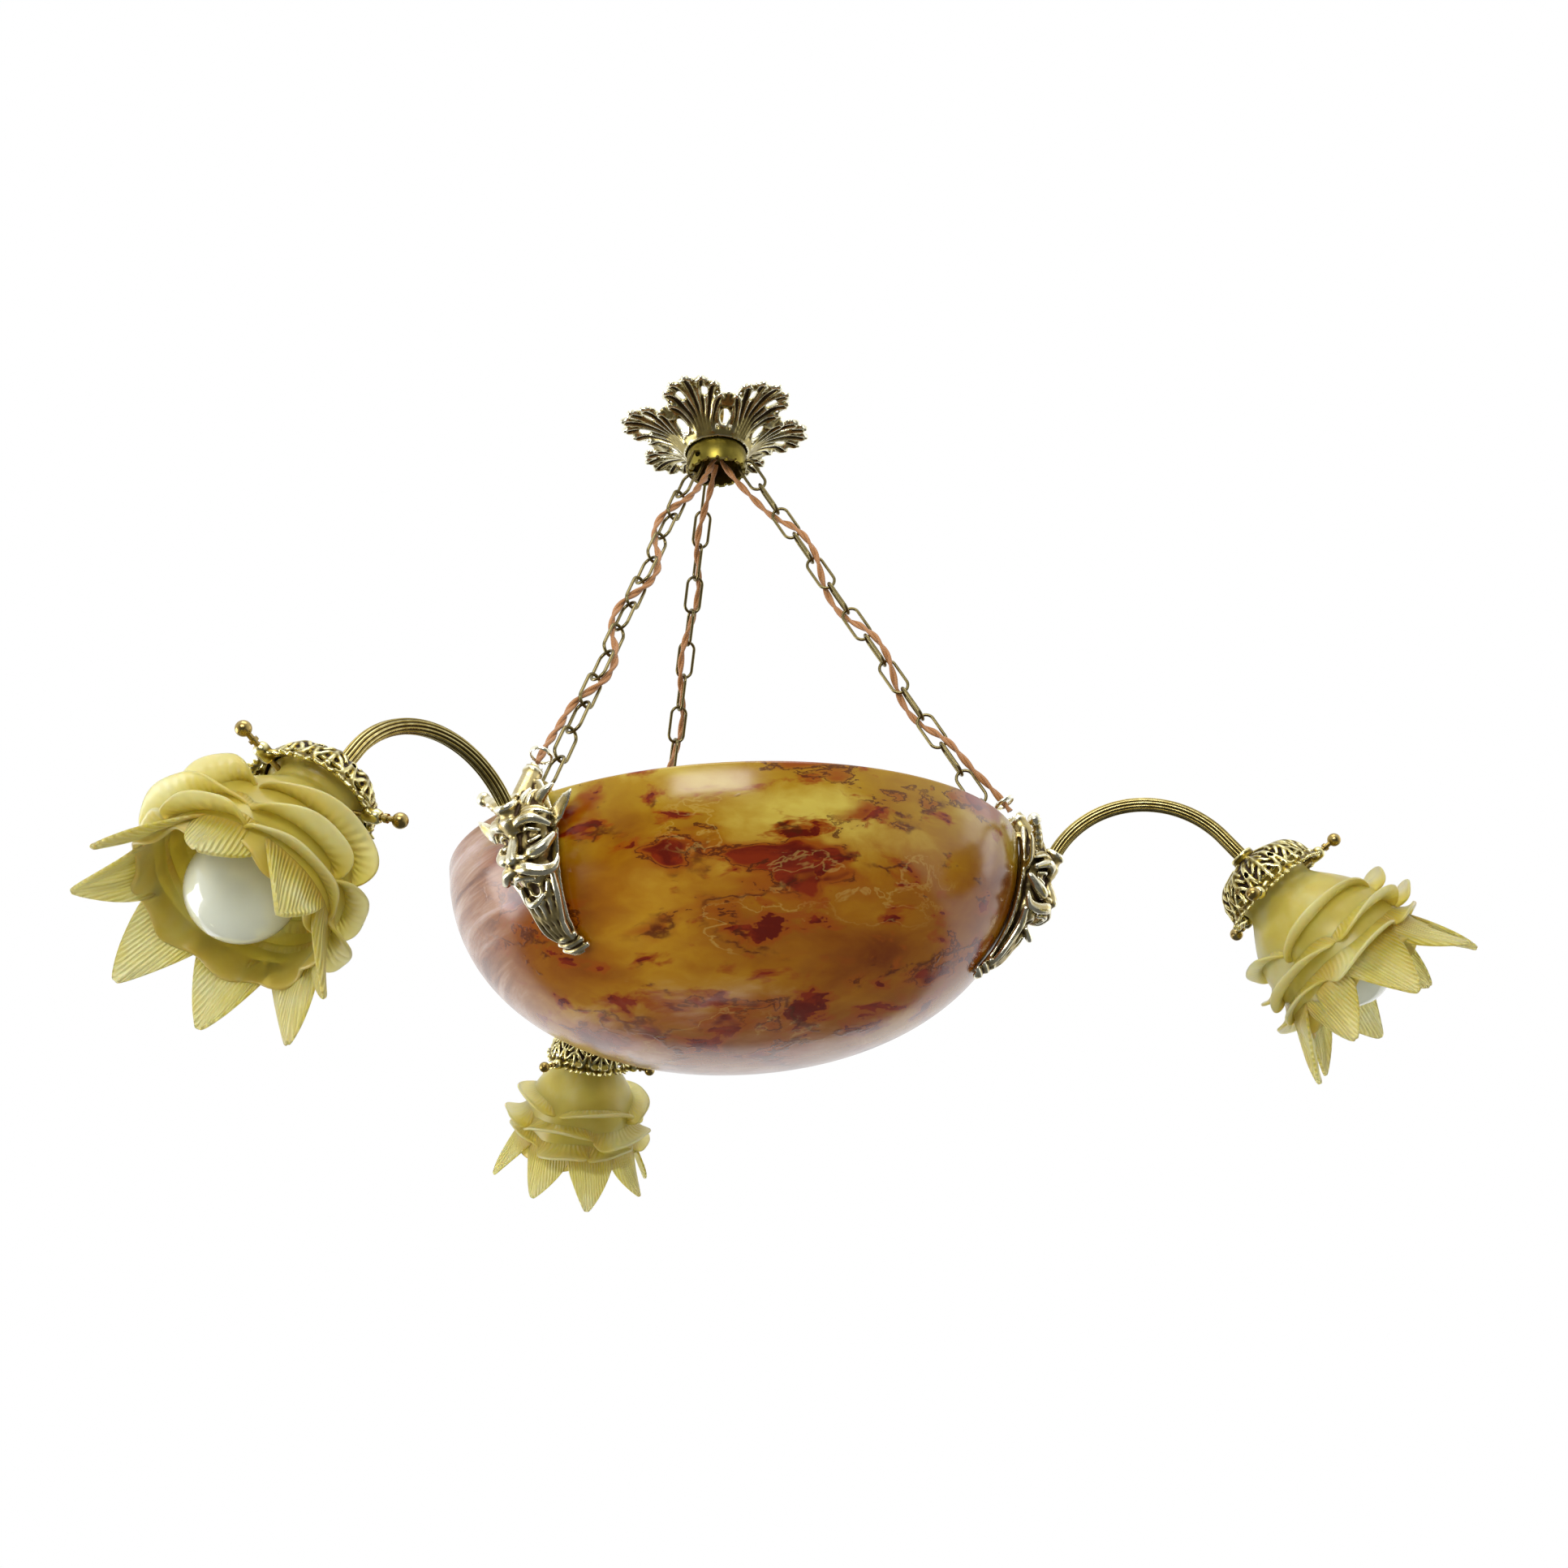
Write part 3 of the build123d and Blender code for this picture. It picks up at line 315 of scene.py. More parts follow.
LAMP_MIDDLE = Vector((0, 0, -0.4))
area_light("window", (-2.1, 0.8, -0.75), 1.6, 0.9, 26)
area_light("front", (-1.15, -2.1, 0.2), 1.2, 0.7, 28)
area_light("ceiling", (-0.3, -0.9, 1.6), 1.6, 1.2, 20)
area_light("right_wall", (2.2, -0.2, 0.1), 0.9, 1.4, 5)

FLOOR_HALF, FLOOR_LEVEL = 3.6, -2.3
corners = [(x * FLOOR_HALF, y * FLOOR_HALF, FLOOR_LEVEL) for x, y in ((-1, -1), (1, -1), (1, 1), (-1, 1))]
floor_mesh = mesh_from("floor", corners, [(0, 1, 2, 3)])
floor = new_object("floor", floor_mesh)
ground = Finish("floor").set(Base_Color=(0.92, 0.92, 0.92, 1))
ground_seen = ground.node("ShaderNodeEmission", {"Color": (0.12, 0.118, 0.115, 1)})
ground_mix = ground.node("ShaderNodeMixShader", {0: ground.node("ShaderNodeLightPath").outputs["Is Glossy Ray"],
                                                 1: ground.shader.outputs[0], 2: ground_seen.outputs[0]})
ground.tree.links.new(ground_mix.outputs[0], ground.tree.nodes["Material Output"].inputs["Surface"])
floor_mesh.materials.append(ground.material)

# %% [markdown]
# Old brass is one metal with many faces: brown tarnish stays in the hollows, a thin olive film covers the flats,
# and handling keeps the edges pale. The dark hollow colour is also painted shade, and the pale edge colour, near
# white on the masks and the rose, is also a painted highlight. One node group makes that from a number that is
# high on edges and low in hollows, and each brass finish sets its own colours and grain.

# %% Aged brass with painted shade and highlight
# the hollow colour holds tarnish and painted shade, the edge colour rubbed brass and a painted highlight
aged_and_lit = node_group("aged_and_lit_brass", {"Wear_And_Shading": 0.5, "Grain": 120.0, "Tarnish_And_Shade": paint(48, 34, 14),
                                 "Film": paint(128, 110, 52), "Rubbed_And_Highlight": paint(232, 218, 158)},
                  {"Color": "Color", "Roughness": "Float", "Metal": "Float", "Height": "Float"})
speckle = aged_and_lit.noise(aged_and_lit.coordinates(), aged_and_lit.inputs["Grain"], 5.0, 0.65)
patches = aged_and_lit.noise(aged_and_lit.coordinates(), 22.0, 3.0, 0.5, 0.4)
uneven = aged_and_lit.math("MULTIPLY_ADD", speckle, 0.30, aged_and_lit.math("MULTIPLY_ADD", patches, 0.22, -0.26))
# one level: low for tarnish with painted shade, high for rubbed brass with a painted highlight
wear_shade_level = aged_and_lit.math("ADD", aged_and_lit.inputs["Wear_And_Shading"], uneven)
film = aged_and_lit.mix(aged_and_lit.step(wear_shade_level, 0.30, 0.54), aged_and_lit.inputs["Tarnish_And_Shade"], aged_and_lit.inputs["Film"])
coloured = aged_and_lit.mix(aged_and_lit.step(wear_shade_level, 0.56, 0.88), film, aged_and_lit.inputs["Rubbed_And_Highlight"])
for label, value in (("Color", coloured), ("Height", aged_and_lit.math("ADD", speckle, patches)),
                     ("Roughness", aged_and_lit.math("MULTIPLY_ADD", aged_and_lit.step(wear_shade_level, 0.2, 0.75), -0.26, 0.50)),
                     ("Metal", aged_and_lit.math("MULTIPLY_ADD", aged_and_lit.step(wear_shade_level, 0.15, 0.45), 0.35, 0.65))):
    aged_and_lit.tree.links.new(value, aged_and_lit.outputs[label])


def brass_finish(name, wear_and_shading, grain, tarnish_and_shade, film_colour, rubbed_and_highlight, bump=0.15):
    """A number for a plain part, or the name of a stored value on a modelled one: low gives tarnish and painted shade,
    high rubbed brass and a painted highlight.
    """
    finish = Finish(name)
    group = finish.node("ShaderNodeGroup", {
        "Wear_And_Shading": finish.attribute(wear_and_shading) if isinstance(wear_and_shading, str) else wear_and_shading, "Grain": grain,
        "Tarnish_And_Shade": paint(*tarnish_and_shade), "Film": paint(*film_colour), "Rubbed_And_Highlight": paint(*rubbed_and_highlight)}, node_tree=aged_and_lit.tree).outputs
    finish.set(Base_Color=group["Color"], Roughness=group["Roughness"], Metallic=group["Metal"],
               Normal=finish.bump(group["Height"], bump, 0.0004))
    return finish.material


# hollow colours: tarnish and painted shade; edge colours: rubbed brass and painted highlights, near white on the masks
# and the rose
cast_brass = brass_finish("cast_brass", "wear_and_shading", 260.0, (40, 22, 4), (116, 98, 32), (240, 230, 168), 0.30)
mask_brass = brass_finish("mask_brass", "wear_and_shading", 260.0, (56, 38, 16), (188, 170, 116), (253, 250, 226), 0.30)
rose_brass = brass_finish("rose_brass", "wear_and_shading", 260.0, (52, 36, 14), (168, 154, 100), (252, 248, 220), 0.30)
turned_brass = brass_finish("turned_brass", 0.62, 160.0, (90, 68, 30), (158, 134, 72), (236, 220, 166))
reeded_brass = brass_finish("reeded_brass", "wear_and_shading", 200.0, (52, 36, 12), (138, 120, 56), (232, 222, 164), 0.08)
chain_brass = brass_finish("chain_brass", 0.55, 110.0, (62, 52, 28), (122, 110, 72), (212, 202, 166), 0.08)
collar_brass = brass_finish("collar_brass", 0.5, 90.0, (56, 44, 18), (146, 132, 56), (236, 228, 160))

# %% [markdown]
# The porcelain, opal glass and felt are plain finishes, but none is quite even: each has a little mottling in
# its colour and gloss.

# %% Porcelain, opal glass and felt
def mottled_finish(name, light, dark, scale, roughness, sheen=0.0, glow=0.0):
    finish = Finish(name)
    cloud = finish.noise(finish.coordinates(), scale, 4.0)
    finish.set(Base_Color=finish.mix(cloud, light, dark),
               Roughness=finish.math("MULTIPLY_ADD", cloud, 0.12, roughness),
               Normal=finish.bump(cloud, 0.05, 0.0003))
    return finish.set(Sheen_Weight=sheen, Subsurface_Weight=glow, Subsurface_Radius=(0.012, 0.011, 0.009))


opal = mottled_finish("opal_glass", (230, 232, 214), (214, 216, 192), 30.0, 0.10, glow=0.5)
opal.set(Coat_Weight=0.8, Transmission_Weight=0.15)
porcelain = mottled_finish("porcelain", (240, 237, 226), (222, 216, 200), 60.0, 0.2)
felt = mottled_finish("felt", (60, 48, 36), (34, 28, 22), 900.0, 0.85, sheen=0.4)

# %% [markdown]
# ## The alabaster bowl
# The stone is banded: golden ochre and olive clouds run round the bowl, deep red-brown iron stains lie among them
# in flat blotches, and fine brown cracks cross the stained parts. Over one flank and the bottom a painted
# reflection sheen of pale pinkish tan with long streaks covers the stone's colour. The polished skin is glossy,
# and light enters the stone a little, so the colour looks soft.

# %% Alabaster finish
stone = Finish("alabaster")
banded = stone.coordinates((1.0, 1.0, 2.0), (0.10, -0.14, 0.0))
wander = stone.noise_colour(banded, 13.0, 3.0)
drift = stone.pushed(banded, wander, 0.06)
clouds = stone.noise(drift, 8.0, 7.0, 0.56)
ochre = stone.ramp(clouds, [(0.30, (104, 46, 1)), (0.42, (128, 70, 1)), (0.53, (144, 90, 3)),
                            (0.66, (168, 122, 18))])
place = stone.node("ShaderNodeSeparateXYZ", {0: stone.node("ShaderNodeTexCoord").outputs["Object"]}).outputs
near_rim = stone.step(stone.math("MULTIPLY_ADD", clouds, 0.08, place["Z"]), -0.405, -0.350)
olive = stone.ramp(clouds, [(0.34, (134, 88, 6)), (0.52, (156, 118, 16)), (0.66, (188, 166, 70))])
ochre = stone.mix(near_rim, ochre, olive)
# iron stains: broad flat ones, and small ones that gather in bands under them
flat = stone.coordinates((1.0, 1.0, 2.7), (0.26, 0.17, 0.52))
flat_drift = stone.pushed(flat, wander, 0.055)
broad = stone.noise(flat_drift, 11.0, 3.5, 0.50)
small = stone.noise(flat_drift, 30.0, 4.0, 0.55)
bands = stone.noise(stone.coordinates((0.5, 0.5, 4.0), (0.3, 0.2, 0.1)), 6.0, 2.0)
sparse = stone.math("MULTIPLY", near_rim, -0.05)
broad_stain = stone.math("ADD", broad, sparse)
small_stain = stone.math("ADD", stone.math("ADD", small, sparse), stone.math("MULTIPLY_ADD", bands, 0.34, -0.19))
stained = stone.math("MAXIMUM", broad_stain, small_stain)
warm = stone.mix(stone.step(stained, 0.50, 0.595), ochre, (136, 66, 2))
iron = stone.mix(stone.step(stone.noise(drift, 46.0, 5.0, 0.6), 0.42, 0.60), (88, 16, 1), (118, 34, 2))
stone_colour = stone.mix(stone.step(stained, 0.595, 0.62), warm, iron)
# dark lines along the stains' edges and cracks that branch off them
edge_line = stone.thin_line(stone.noise(flat_drift, 11.0, 7.0, 0.62), 0.57, 0.004, 0.014)
edge_crack = stone.math("MULTIPLY", edge_line, stone.step(stone.noise(banded, 12.0, 2.0), 0.44, 0.52))
crack_place = stone.pushed(banded, stone.noise_colour(banded, 34.0, 5.0), 0.07)
cells = stone.node("ShaderNodeTexVoronoi", {"Vector": crack_place, "Scale": 12.0, "Randomness": 1.0},
                   feature="DISTANCE_TO_EDGE").outputs["Distance"]
crack_here = stone.math("MULTIPLY", stone.step(stained, 0.49, 0.54),
                        stone.step(stone.noise(banded, 16.0, 2.0), 0.46, 0.54))
crack_line = stone.math("MULTIPLY", stone.thin_line(cells, 0.0, 0.0, 0.05), crack_here)
crack_line = stone.math("MAXIMUM", crack_line, edge_crack)
stone_colour = stone.mix(stone.math("MULTIPLY", crack_line, 0.8), stone_colour, (70, 26, 3))
vein_line = stone.thin_line(stone.noise(drift, 8.0, 6.0, 0.6), 0.5, 0.0, 0.009)
vein = stone.math("MULTIPLY", vein_line, stone.step(stone.noise(banded, 7.0, 2.0), 0.50, 0.62))
stone_colour = stone.mix(stone.math("MULTIPLY", vein, 0.22), stone_colour, (206, 182, 96))
# painted reflection sheen: a pale pinkish zone with long streaks is painted over the bottom and the flank that faces -X
low = stone.math("MULTIPLY_ADD", place["Z"], -22.0, -10.95)
sheen_flank = stone.math("MULTIPLY_ADD", place["X"], -18.0, stone.math("MULTIPLY_ADD", place["Y"], 7.8, -2.45))
sheen_zone = stone.math("ADD", stone.math("MAXIMUM", low, sheen_flank), stone.math("MULTIPLY_ADD", clouds, 2.4, -1.2))
sheen_streaks = stone.noise(stone.coordinates((2.0, 2.0, 24.0), (0.10, -0.22, 0.0)), 4.2, 6.0, 0.62, 0.5)
# the colours of the painted sheen, up to a pale lilac white
pink_sheen = stone.ramp(sheen_streaks, [(0.32, (104, 60, 38)), (0.46, (148, 106, 80)), (0.56, (174, 142, 122)),
                            (0.70, (204, 182, 178))])
stone_colour = stone.mix(stone.math("MULTIPLY", stone.step(sheen_zone, 0.0, 0.9), 0.92), stone_colour, pink_sheen)
stone.set(Base_Color=stone_colour,
          Roughness=stone.math("MULTIPLY_ADD", stone.noise(banded, 60.0, 5.0), 0.20, 0.10),
          Normal=stone.bump(stone.math("ADD", stone.noise(banded, 14.0, 3.0), crack_line), 0.08, 0.0015))
stone.set(Subsurface_Weight=0.12, Subsurface_Radius=(0.008, 0.004, 0.001), Specular_IOR_Level=0.25,
          Coat_Weight=0.3, Coat_Roughness=0.16)

# %% [markdown]
# The bowl was turned and polished by hand. Its section is a superellipse, spun in fine steps, with a wall of
# 9 mm and a soft rounded rim. Spinning an array of points keeps the surface smooth at any zoom, which the
# solid's flat facets don't.

# %% Bowl
def bowl_radius_at(depth, gap=0.0):
    """Radius of the bowl's outside, grown by a gap, at a depth below the rim."""
    share = np.clip(np.asarray(depth, dtype=float) / (BOWL_DEPTH + gap), 0, 1)
    return (BOWL_RADIUS + gap) * (1 - share ** BOWL_FULLNESS) ** (1 / BOWL_FULLNESS)


def superellipse(radius, depth, turns):
    power = 2 / BOWL_FULLNESS
    return np.stack([radius * np.cos(turns) ** power, -depth * np.sin(turns) ** power], axis=1)


def spin(section, steps):
    """Points of a section of (radius, height), turned round Z, as rows of a closed grid."""
    around = np.linspace(0, 2 * pi, steps, endpoint=False)
    radius, height = section[:, 0][:, None], section[:, 1][:, None]
    rows = np.stack([radius * np.cos(around), radius * np.sin(around), height + 0 * around], axis=2)
    return rows.reshape(-1, 3), grid_faces(len(section), steps, closed=True)


BOWL_ROWS, BOWL_STEPS, EDGE_RADIUS = 72, 256, 2.4
even = np.linspace(0.06, 1, BOWL_ROWS) * (pi / 2)
outside = superellipse(BOWL_RADIUS, BOWL_DEPTH, even)
inside = superellipse(BOWL_RADIUS - BOWL_WALL, BOWL_DEPTH - BOWL_WALL, even)[::-1]
outside[-1, 0] = inside[0, 0] = 0.01
arc = np.linspace(0, pi / 2, 6)
inner_lip = np.stack([BOWL_RADIUS - BOWL_WALL + EDGE_RADIUS * (1 - np.cos(arc)),
                      EDGE_RADIUS * (np.sin(arc) - 1)], axis=1)
outer_lip = np.stack([BOWL_RADIUS - EDGE_RADIUS * (1 - np.cos(arc[::-1])),
                      EDGE_RADIUS * (np.sin(arc[::-1]) - 1)], axis=1)
bowl_section = np.concatenate([inside, inner_lip, outer_lip, outside])
bowl_points, bowl_faces = spin(bowl_section, BOWL_STEPS)
bowl_mesh = mesh_from("bowl_of_alabaster", bowl_points, bowl_faces)
bowl_mesh.transform(Matrix.Scale(MM, 4) @ Matrix.Translation((0, 0, RIM_Z)))
bowl_mesh.flip_normals()
bowl_mesh.materials.append(stone.material)
bowl = new_object("bowl_of_alabaster", bowl_mesh)
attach(bowl, "bowl")
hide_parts("alabaster_bowl")
print("bowl faces:", len(bowl_mesh.polygons))

# %% [markdown]
# ## Geometry Nodes
# Two trees do the repeating work. One turns copies of a piece round an axis: petals, ruffles and leaves are drawn
# once and counted out by it. The other sweeps a pair of strands along a curve and twists them, which is how a
# silk-covered flex is made.

# %% Tree that repeats a piece round the Z axis
def geometry_tree(name, inputs):
    tree = bpy.data.node_groups.new(name, "GeometryNodeTree")
    tree.interface.new_socket("Geometry", in_out="INPUT", socket_type="NodeSocketGeometry")
    for label, (kind, value) in inputs.items():
        socket = tree.interface.new_socket(label, in_out="INPUT", socket_type=f"NodeSocket{kind}")
        if value is not None:
            socket.default_value = value
    tree.interface.new_socket("Geometry", in_out="OUTPUT", socket_type="NodeSocketGeometry")
    build = Finish(name, tree)
    build.inputs = tree.nodes.new("NodeGroupInput").outputs
    build.outputs = tree.nodes.new("NodeGroupOutput").inputs
    return build


def run_tree(piece, tree, name, **values):
    """Put the tree on a piece, set its named inputs, and return the result as a plain mesh."""
    modifier = piece.modifiers.new(tree.name, "NODES")
    modifier.node_group = tree
    for item in tree.interface.items_tree:
        if item.item_type == "SOCKET" and item.in_out == "INPUT" and item.name in values:
            modifier[item.identifier] = values[item.name]
    return evaluated_mesh(piece, name)


ring = geometry_tree("repeat_round_axis", {"Count": ("Int", 8), "First": ("Float", 0.0),
                                           "Finish": ("Material", None)})
one_place = ring.node("GeometryNodePoints", {"Count": ring.inputs["Count"]})
turn_each = ring.math("DIVIDE", 2 * pi, ring.inputs["Count"])
turn_now = ring.math("MULTIPLY_ADD", ring.node("GeometryNodeInputIndex").outputs[0], turn_each, ring.inputs["First"])
placed = ring.node("GeometryNodeInstanceOnPoints", {
    "Points": one_place.outputs[0], "Instance": ring.inputs["Geometry"],
    "Rotation": ring.node("ShaderNodeCombineXYZ", {"Z": turn_now}).outputs[0]})
real = ring.node("GeometryNodeRealizeInstances", {"Geometry": placed.outputs[0]})
finished = ring.node("GeometryNodeSetMaterial", {"Geometry": real.outputs[0], "Material": ring.inputs["Finish"]})
ring.tree.links.new(finished.outputs[0], ring.outputs["Geometry"])


def repeat_round(mesh, count, first, material, name):
    return run_tree(new_object(name, mesh), ring.tree, name, Count=count, First=float(first), Finish=material)


def joined(meshes, name):
    """Several meshes as one, with their stored values kept."""
    pieces = [new_object(f"{name}_{number}", mesh) for number, mesh in enumerate(meshes)]
    with bpy.context.temp_override(active_object=pieces[0], selected_editable_objects=pieces):
        bpy.ops.object.join()
    mesh = pieces[0].data
    mesh.name = name
    bpy.data.objects.remove(pieces[0])
    return mesh


# %% [markdown]
# ## The flex
# Each flex leaves the rose, joins its chain and passes from one side of it to the other through every second
# link. It ends in the small trumpet on the mask. Its route is one smooth curve through the same points as the
# solid's tube, and two silk-covered strands twist round that curve.

# %% Tree that twists two strands along a curve
twist = geometry_tree("twisted_pair", {
    "Strand Radius": ("Float", 0.0014), "Offset": ("Float", 0.0012), "Pitch": ("Float", 0.036),
    "Rings": ("Int", 480), "Finish": ("Material", None)})
even_points = twist.node("GeometryNodeResampleCurve", {"Curve": twist.inputs["Geometry"],
                                                       "Count": twist.inputs["Rings"]})
along = twist.node("GeometryNodeSplineParameter").outputs["Length"]
tilted = twist.node("GeometryNodeSetCurveTilt", {
    "Curve": even_points.outputs[0],
    "Tilt": twist.math("MULTIPLY", twist.math("DIVIDE", along, twist.inputs["Pitch"]), 2 * pi)})
marked = twist.node("GeometryNodeStoreNamedAttribute", {"Geometry": tilted.outputs[0], "Name": "along",
                                                        "Value": along}, data_type="FLOAT", domain="POINT")
circle = twist.node("GeometryNodeCurvePrimitiveCircle", {"Resolution": 12,
                                                         "Radius": twist.inputs["Strand Radius"]})
rounded = twist.node("GeometryNodeStoreNamedAttribute", {
    "Geometry": circle.outputs["Curve"], "Name": "round",
    "Value": twist.node("GeometryNodeSplineParameter").outputs["Factor"]}, data_type="FLOAT", domain="POINT")
strands = twist.node("GeometryNodeJoinGeometry")
for sign in (-1, 1):
    shifted = twist.node("GeometryNodeTransform", {"Geometry": rounded.outputs[0], "Translation": twist.node(
        "ShaderNodeCombineXYZ", {"X": twist.math("MULTIPLY", twist.inputs["Offset"], float(sign))}).outputs[0]})
    twist.tree.links.new(shifted.outputs[0], strands.inputs[0])
swept = twist.node("GeometryNodeCurveToMesh", {"Curve": marked.outputs[0], "Profile Curve": strands.outputs[0],
                                               "Fill Caps": True})
smooth = twist.node("GeometryNodeSetShadeSmooth", {"Geometry": swept.outputs[0]})
whole = twist.node("GeometryNodeRealizeInstances", {"Geometry": smooth.outputs[0]})
dressed = twist.node("GeometryNodeSetMaterial", {"Geometry": whole.outputs[0],
                                                 "Material": twist.inputs["Finish"]})
twist.tree.links.new(dressed.outputs[0], twist.outputs["Geometry"])

# %% Copper silk
silk = Finish("copper_silk")
braid_along = silk.math("MULTIPLY", silk.attribute("along"), 2600.0)
braid_round = silk.math("MULTIPLY", silk.attribute("round"), 2 * pi * 5)
lay_one = silk.math("SINE", silk.math("ADD", braid_along, braid_round))
lay_two = silk.math("SINE", silk.math("SUBTRACT", braid_along, braid_round))
braid = silk.math("MULTIPLY_ADD", silk.math("MULTIPLY", lay_one, lay_two), 0.5, 0.5)
fade = silk.noise(silk.coordinates(), 35.0, 4.0)
thread = silk.mix(braid, (108, 60, 24), (212, 150, 88))
silk.set(Base_Color=silk.mix(silk.math("MULTIPLY", fade, 0.6), thread, (158, 108, 54)),
         Roughness=silk.math("MULTIPLY_ADD", braid, -0.15, 0.55), Normal=silk.bump(braid, 0.5, 0.0002))
silk.set(Sheen_Weight=0.5, Sheen_Roughness=0.35)

# %% Flex routes and strands
WEAVE_SIDE = 5.2
WEAVE_LINKS = (3, 5, 7, 9, 11)


def chain_point(down, inward, across):
    """Point beside the chain: down it from its top, inward of it and across it."""
    return CHAIN_TOP + CHAIN_DOWN * down + CHAIN_IN * inward + Vector((0, 1, 0)) * across


def flex_route():
    points = [Vector((3.6, 0, MOUTH_Z + 9.5 - RIM_Z)), chain_point(8, 13.4, 0.6), chain_point(30, 9.4, 3.6)]
    side = WEAVE_SIDE
    for number in WEAVE_LINKS:
        middle = (number - 1) * LINK_PITCH + LINK_SPAN / 2
        points.append(chain_point(middle - LINK_PITCH / 2, side, side))
        points.append(chain_point(middle + LINK_PITCH / 2, -side, -side))
        side = -side
    trumpet_mouth = CHAIN_LENGTH - 19.0
    points.append(chain_point(trumpet_mouth - 33, -6.6, -5.4))
    points.append(chain_point(trumpet_mouth - 8, -12.1, -1.4))
    points.append(chain_point(trumpet_mouth + 9, -13.0, 0))
    return points


def route_curve(name, points):
    data = bpy.data.curves.new(name, "CURVE")
    data.dimensions = "3D"
    data.resolution_u = 12
    spline = data.splines.new("NURBS")
    spline.points.add(len(points) - 1)
    for point, place in zip(spline.points, points):
        point.co = (*place, 1)
    spline.order_u = 3
    spline.use_endpoint_u = True
    return new_object(name, data)


for side, azimuth in ARM_AZIMUTHS.items():
    matrix = arm_matrix(azimuth)
    curve = route_curve(f"flex_route_{side}", [matrix @ point for point in flex_route()])
    bpy.context.view_layer.update()
    line = bpy.data.meshes.new_from_object(curve.evaluated_get(bpy.context.evaluated_depsgraph_get()))
    mesh = run_tree(curve, twist.tree, f"silk_flex_{side}", Finish=silk.material)
    flex = new_object(f"silk_flex_{side}", mesh)
    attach(flex, f"chain_{side}")
    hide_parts(f"flex_{side}")

# %% [markdown]
# ## The glass shades
# A shade is a blown and pressed tulip: a smooth bell with a neck, three ruffles whose lips swing in and out in
# soft folds, and a star of eight broad pointed petals with fine parallel ribs. Every sheet is a grid of points that
# gets its thickness afterwards, and the tree above turns the petals round the shade. The glass is satin frosted
# and yellow to amber. Its colour is painted deeper amber in the folds, at the neck and at the petals' feet, which is
# painted shade over the glass's own amber, and painted pale on the ruffles' lips and the petal tips, a painted glow.

# %% Frosted glass finish
glass = Finish("frosted_amber_glass")
cloudy = glass.noise(glass.coordinates(), 24.0, 4.0, 0.55, 0.3)
yellow = glass.ramp(cloudy, [(0.30, (222, 202, 52)), (0.52, (236, 222, 92)), (0.72, (250, 244, 176))])
amber = glass.mix(cloudy, (212, 158, 22), (232, 194, 66))
# the stored value: above 0 a deeper amber, glass colour with painted shade; below 0 a pale painted glow
shade_and_glow_tint = glass.attribute("amber")
tint_with_painted_light = glass.mix(glass.math("MULTIPLY", glass.math("MAXIMUM", shade_and_glow_tint, 0.0), 0.75), yellow, amber)
tint_with_painted_light = glass.mix(glass.math("MAXIMUM", glass.math("MULTIPLY", shade_and_glow_tint, -0.8), 0.0), tint_with_painted_light, (252, 248, 208))
rib_wave = glass.math("SINE", glass.math("MULTIPLY", glass.attribute("rib"), 2 * pi))
ribs = glass.math("MULTIPLY", rib_wave, glass.attribute("ribbed"))
glass.set(Base_Color=glass.mix(glass.math("MULTIPLY_ADD", ribs, 0.12, 0.12), tint_with_painted_light, (252, 246, 206)),
          Roughness=glass.math("MULTIPLY_ADD", cloudy, 0.14, 0.24),
          Normal=glass.bump(ribs, 0.7, 0.0007))
glass.set(Transmission_Weight=0.60, Subsurface_Weight=0.7, Subsurface_Radius=(0.016, 0.013, 0.006), IOR=1.4)

# %% Sheets of glass
SHADE_WALL, PETALS = 2.2, 8


def glass_sheet(name, rows, amber_shade_and_glow, rib, ribbed, closed=False):
    """A sheet from rows of points, with its amber tint, painted shade and painted glow and its ribs stored, made thick
    and rounded off.
    """
    count, columns = rows.shape[:2]
    mesh = mesh_from(name, rows.reshape(-1, 3), grid_faces(count, columns, closed))
    blank = np.zeros((count, columns))
    for label, values in (("amber", amber_shade_and_glow), ("rib", rib), ("ribbed", ribbed)):
        add_value(mesh, label, np.clip(values + blank, -99, 99).reshape(-1))
    piece = new_object(name, mesh)
    wall = piece.modifiers.new("wall", "SOLIDIFY")
    wall.thickness = SHADE_WALL
    wall.offset = 0.0
    wall.use_rim = True
    round_off = piece.modifiers.new("round_off", "SUBSURF")
    round_off.levels = round_off.render_levels = 1
    return evaluated_mesh(piece, name)


def round_axis(radius, turn, height):
    return np.stack([radius * np.cos(turn), radius * np.sin(turn), height], axis=-1)


def curve_through(knots, samples):
    """Smooth values through rows of knots, evenly sampled (Catmull-Rom)."""
    knots = np.asarray(knots, dtype=float)
    padded = np.vstack([2 * knots[0] - knots[1], knots, 2 * knots[-1] - knots[-2]])
    result = []
    for t in np.linspace(0, len(knots) - 1, samples):
        i = min(int(t), len(knots) - 2)
        f = t - i
        a, b, c, d = padded[i], padded[i + 1], padded[i + 2], padded[i + 3]
        result.append(0.5 * (2 * b + (c - a) * f + (2 * a - 5 * b + 4 * c - d) * f ** 2
                             + (3 * b - 3 * c + d - a) * f ** 3))
    return np.array(result)


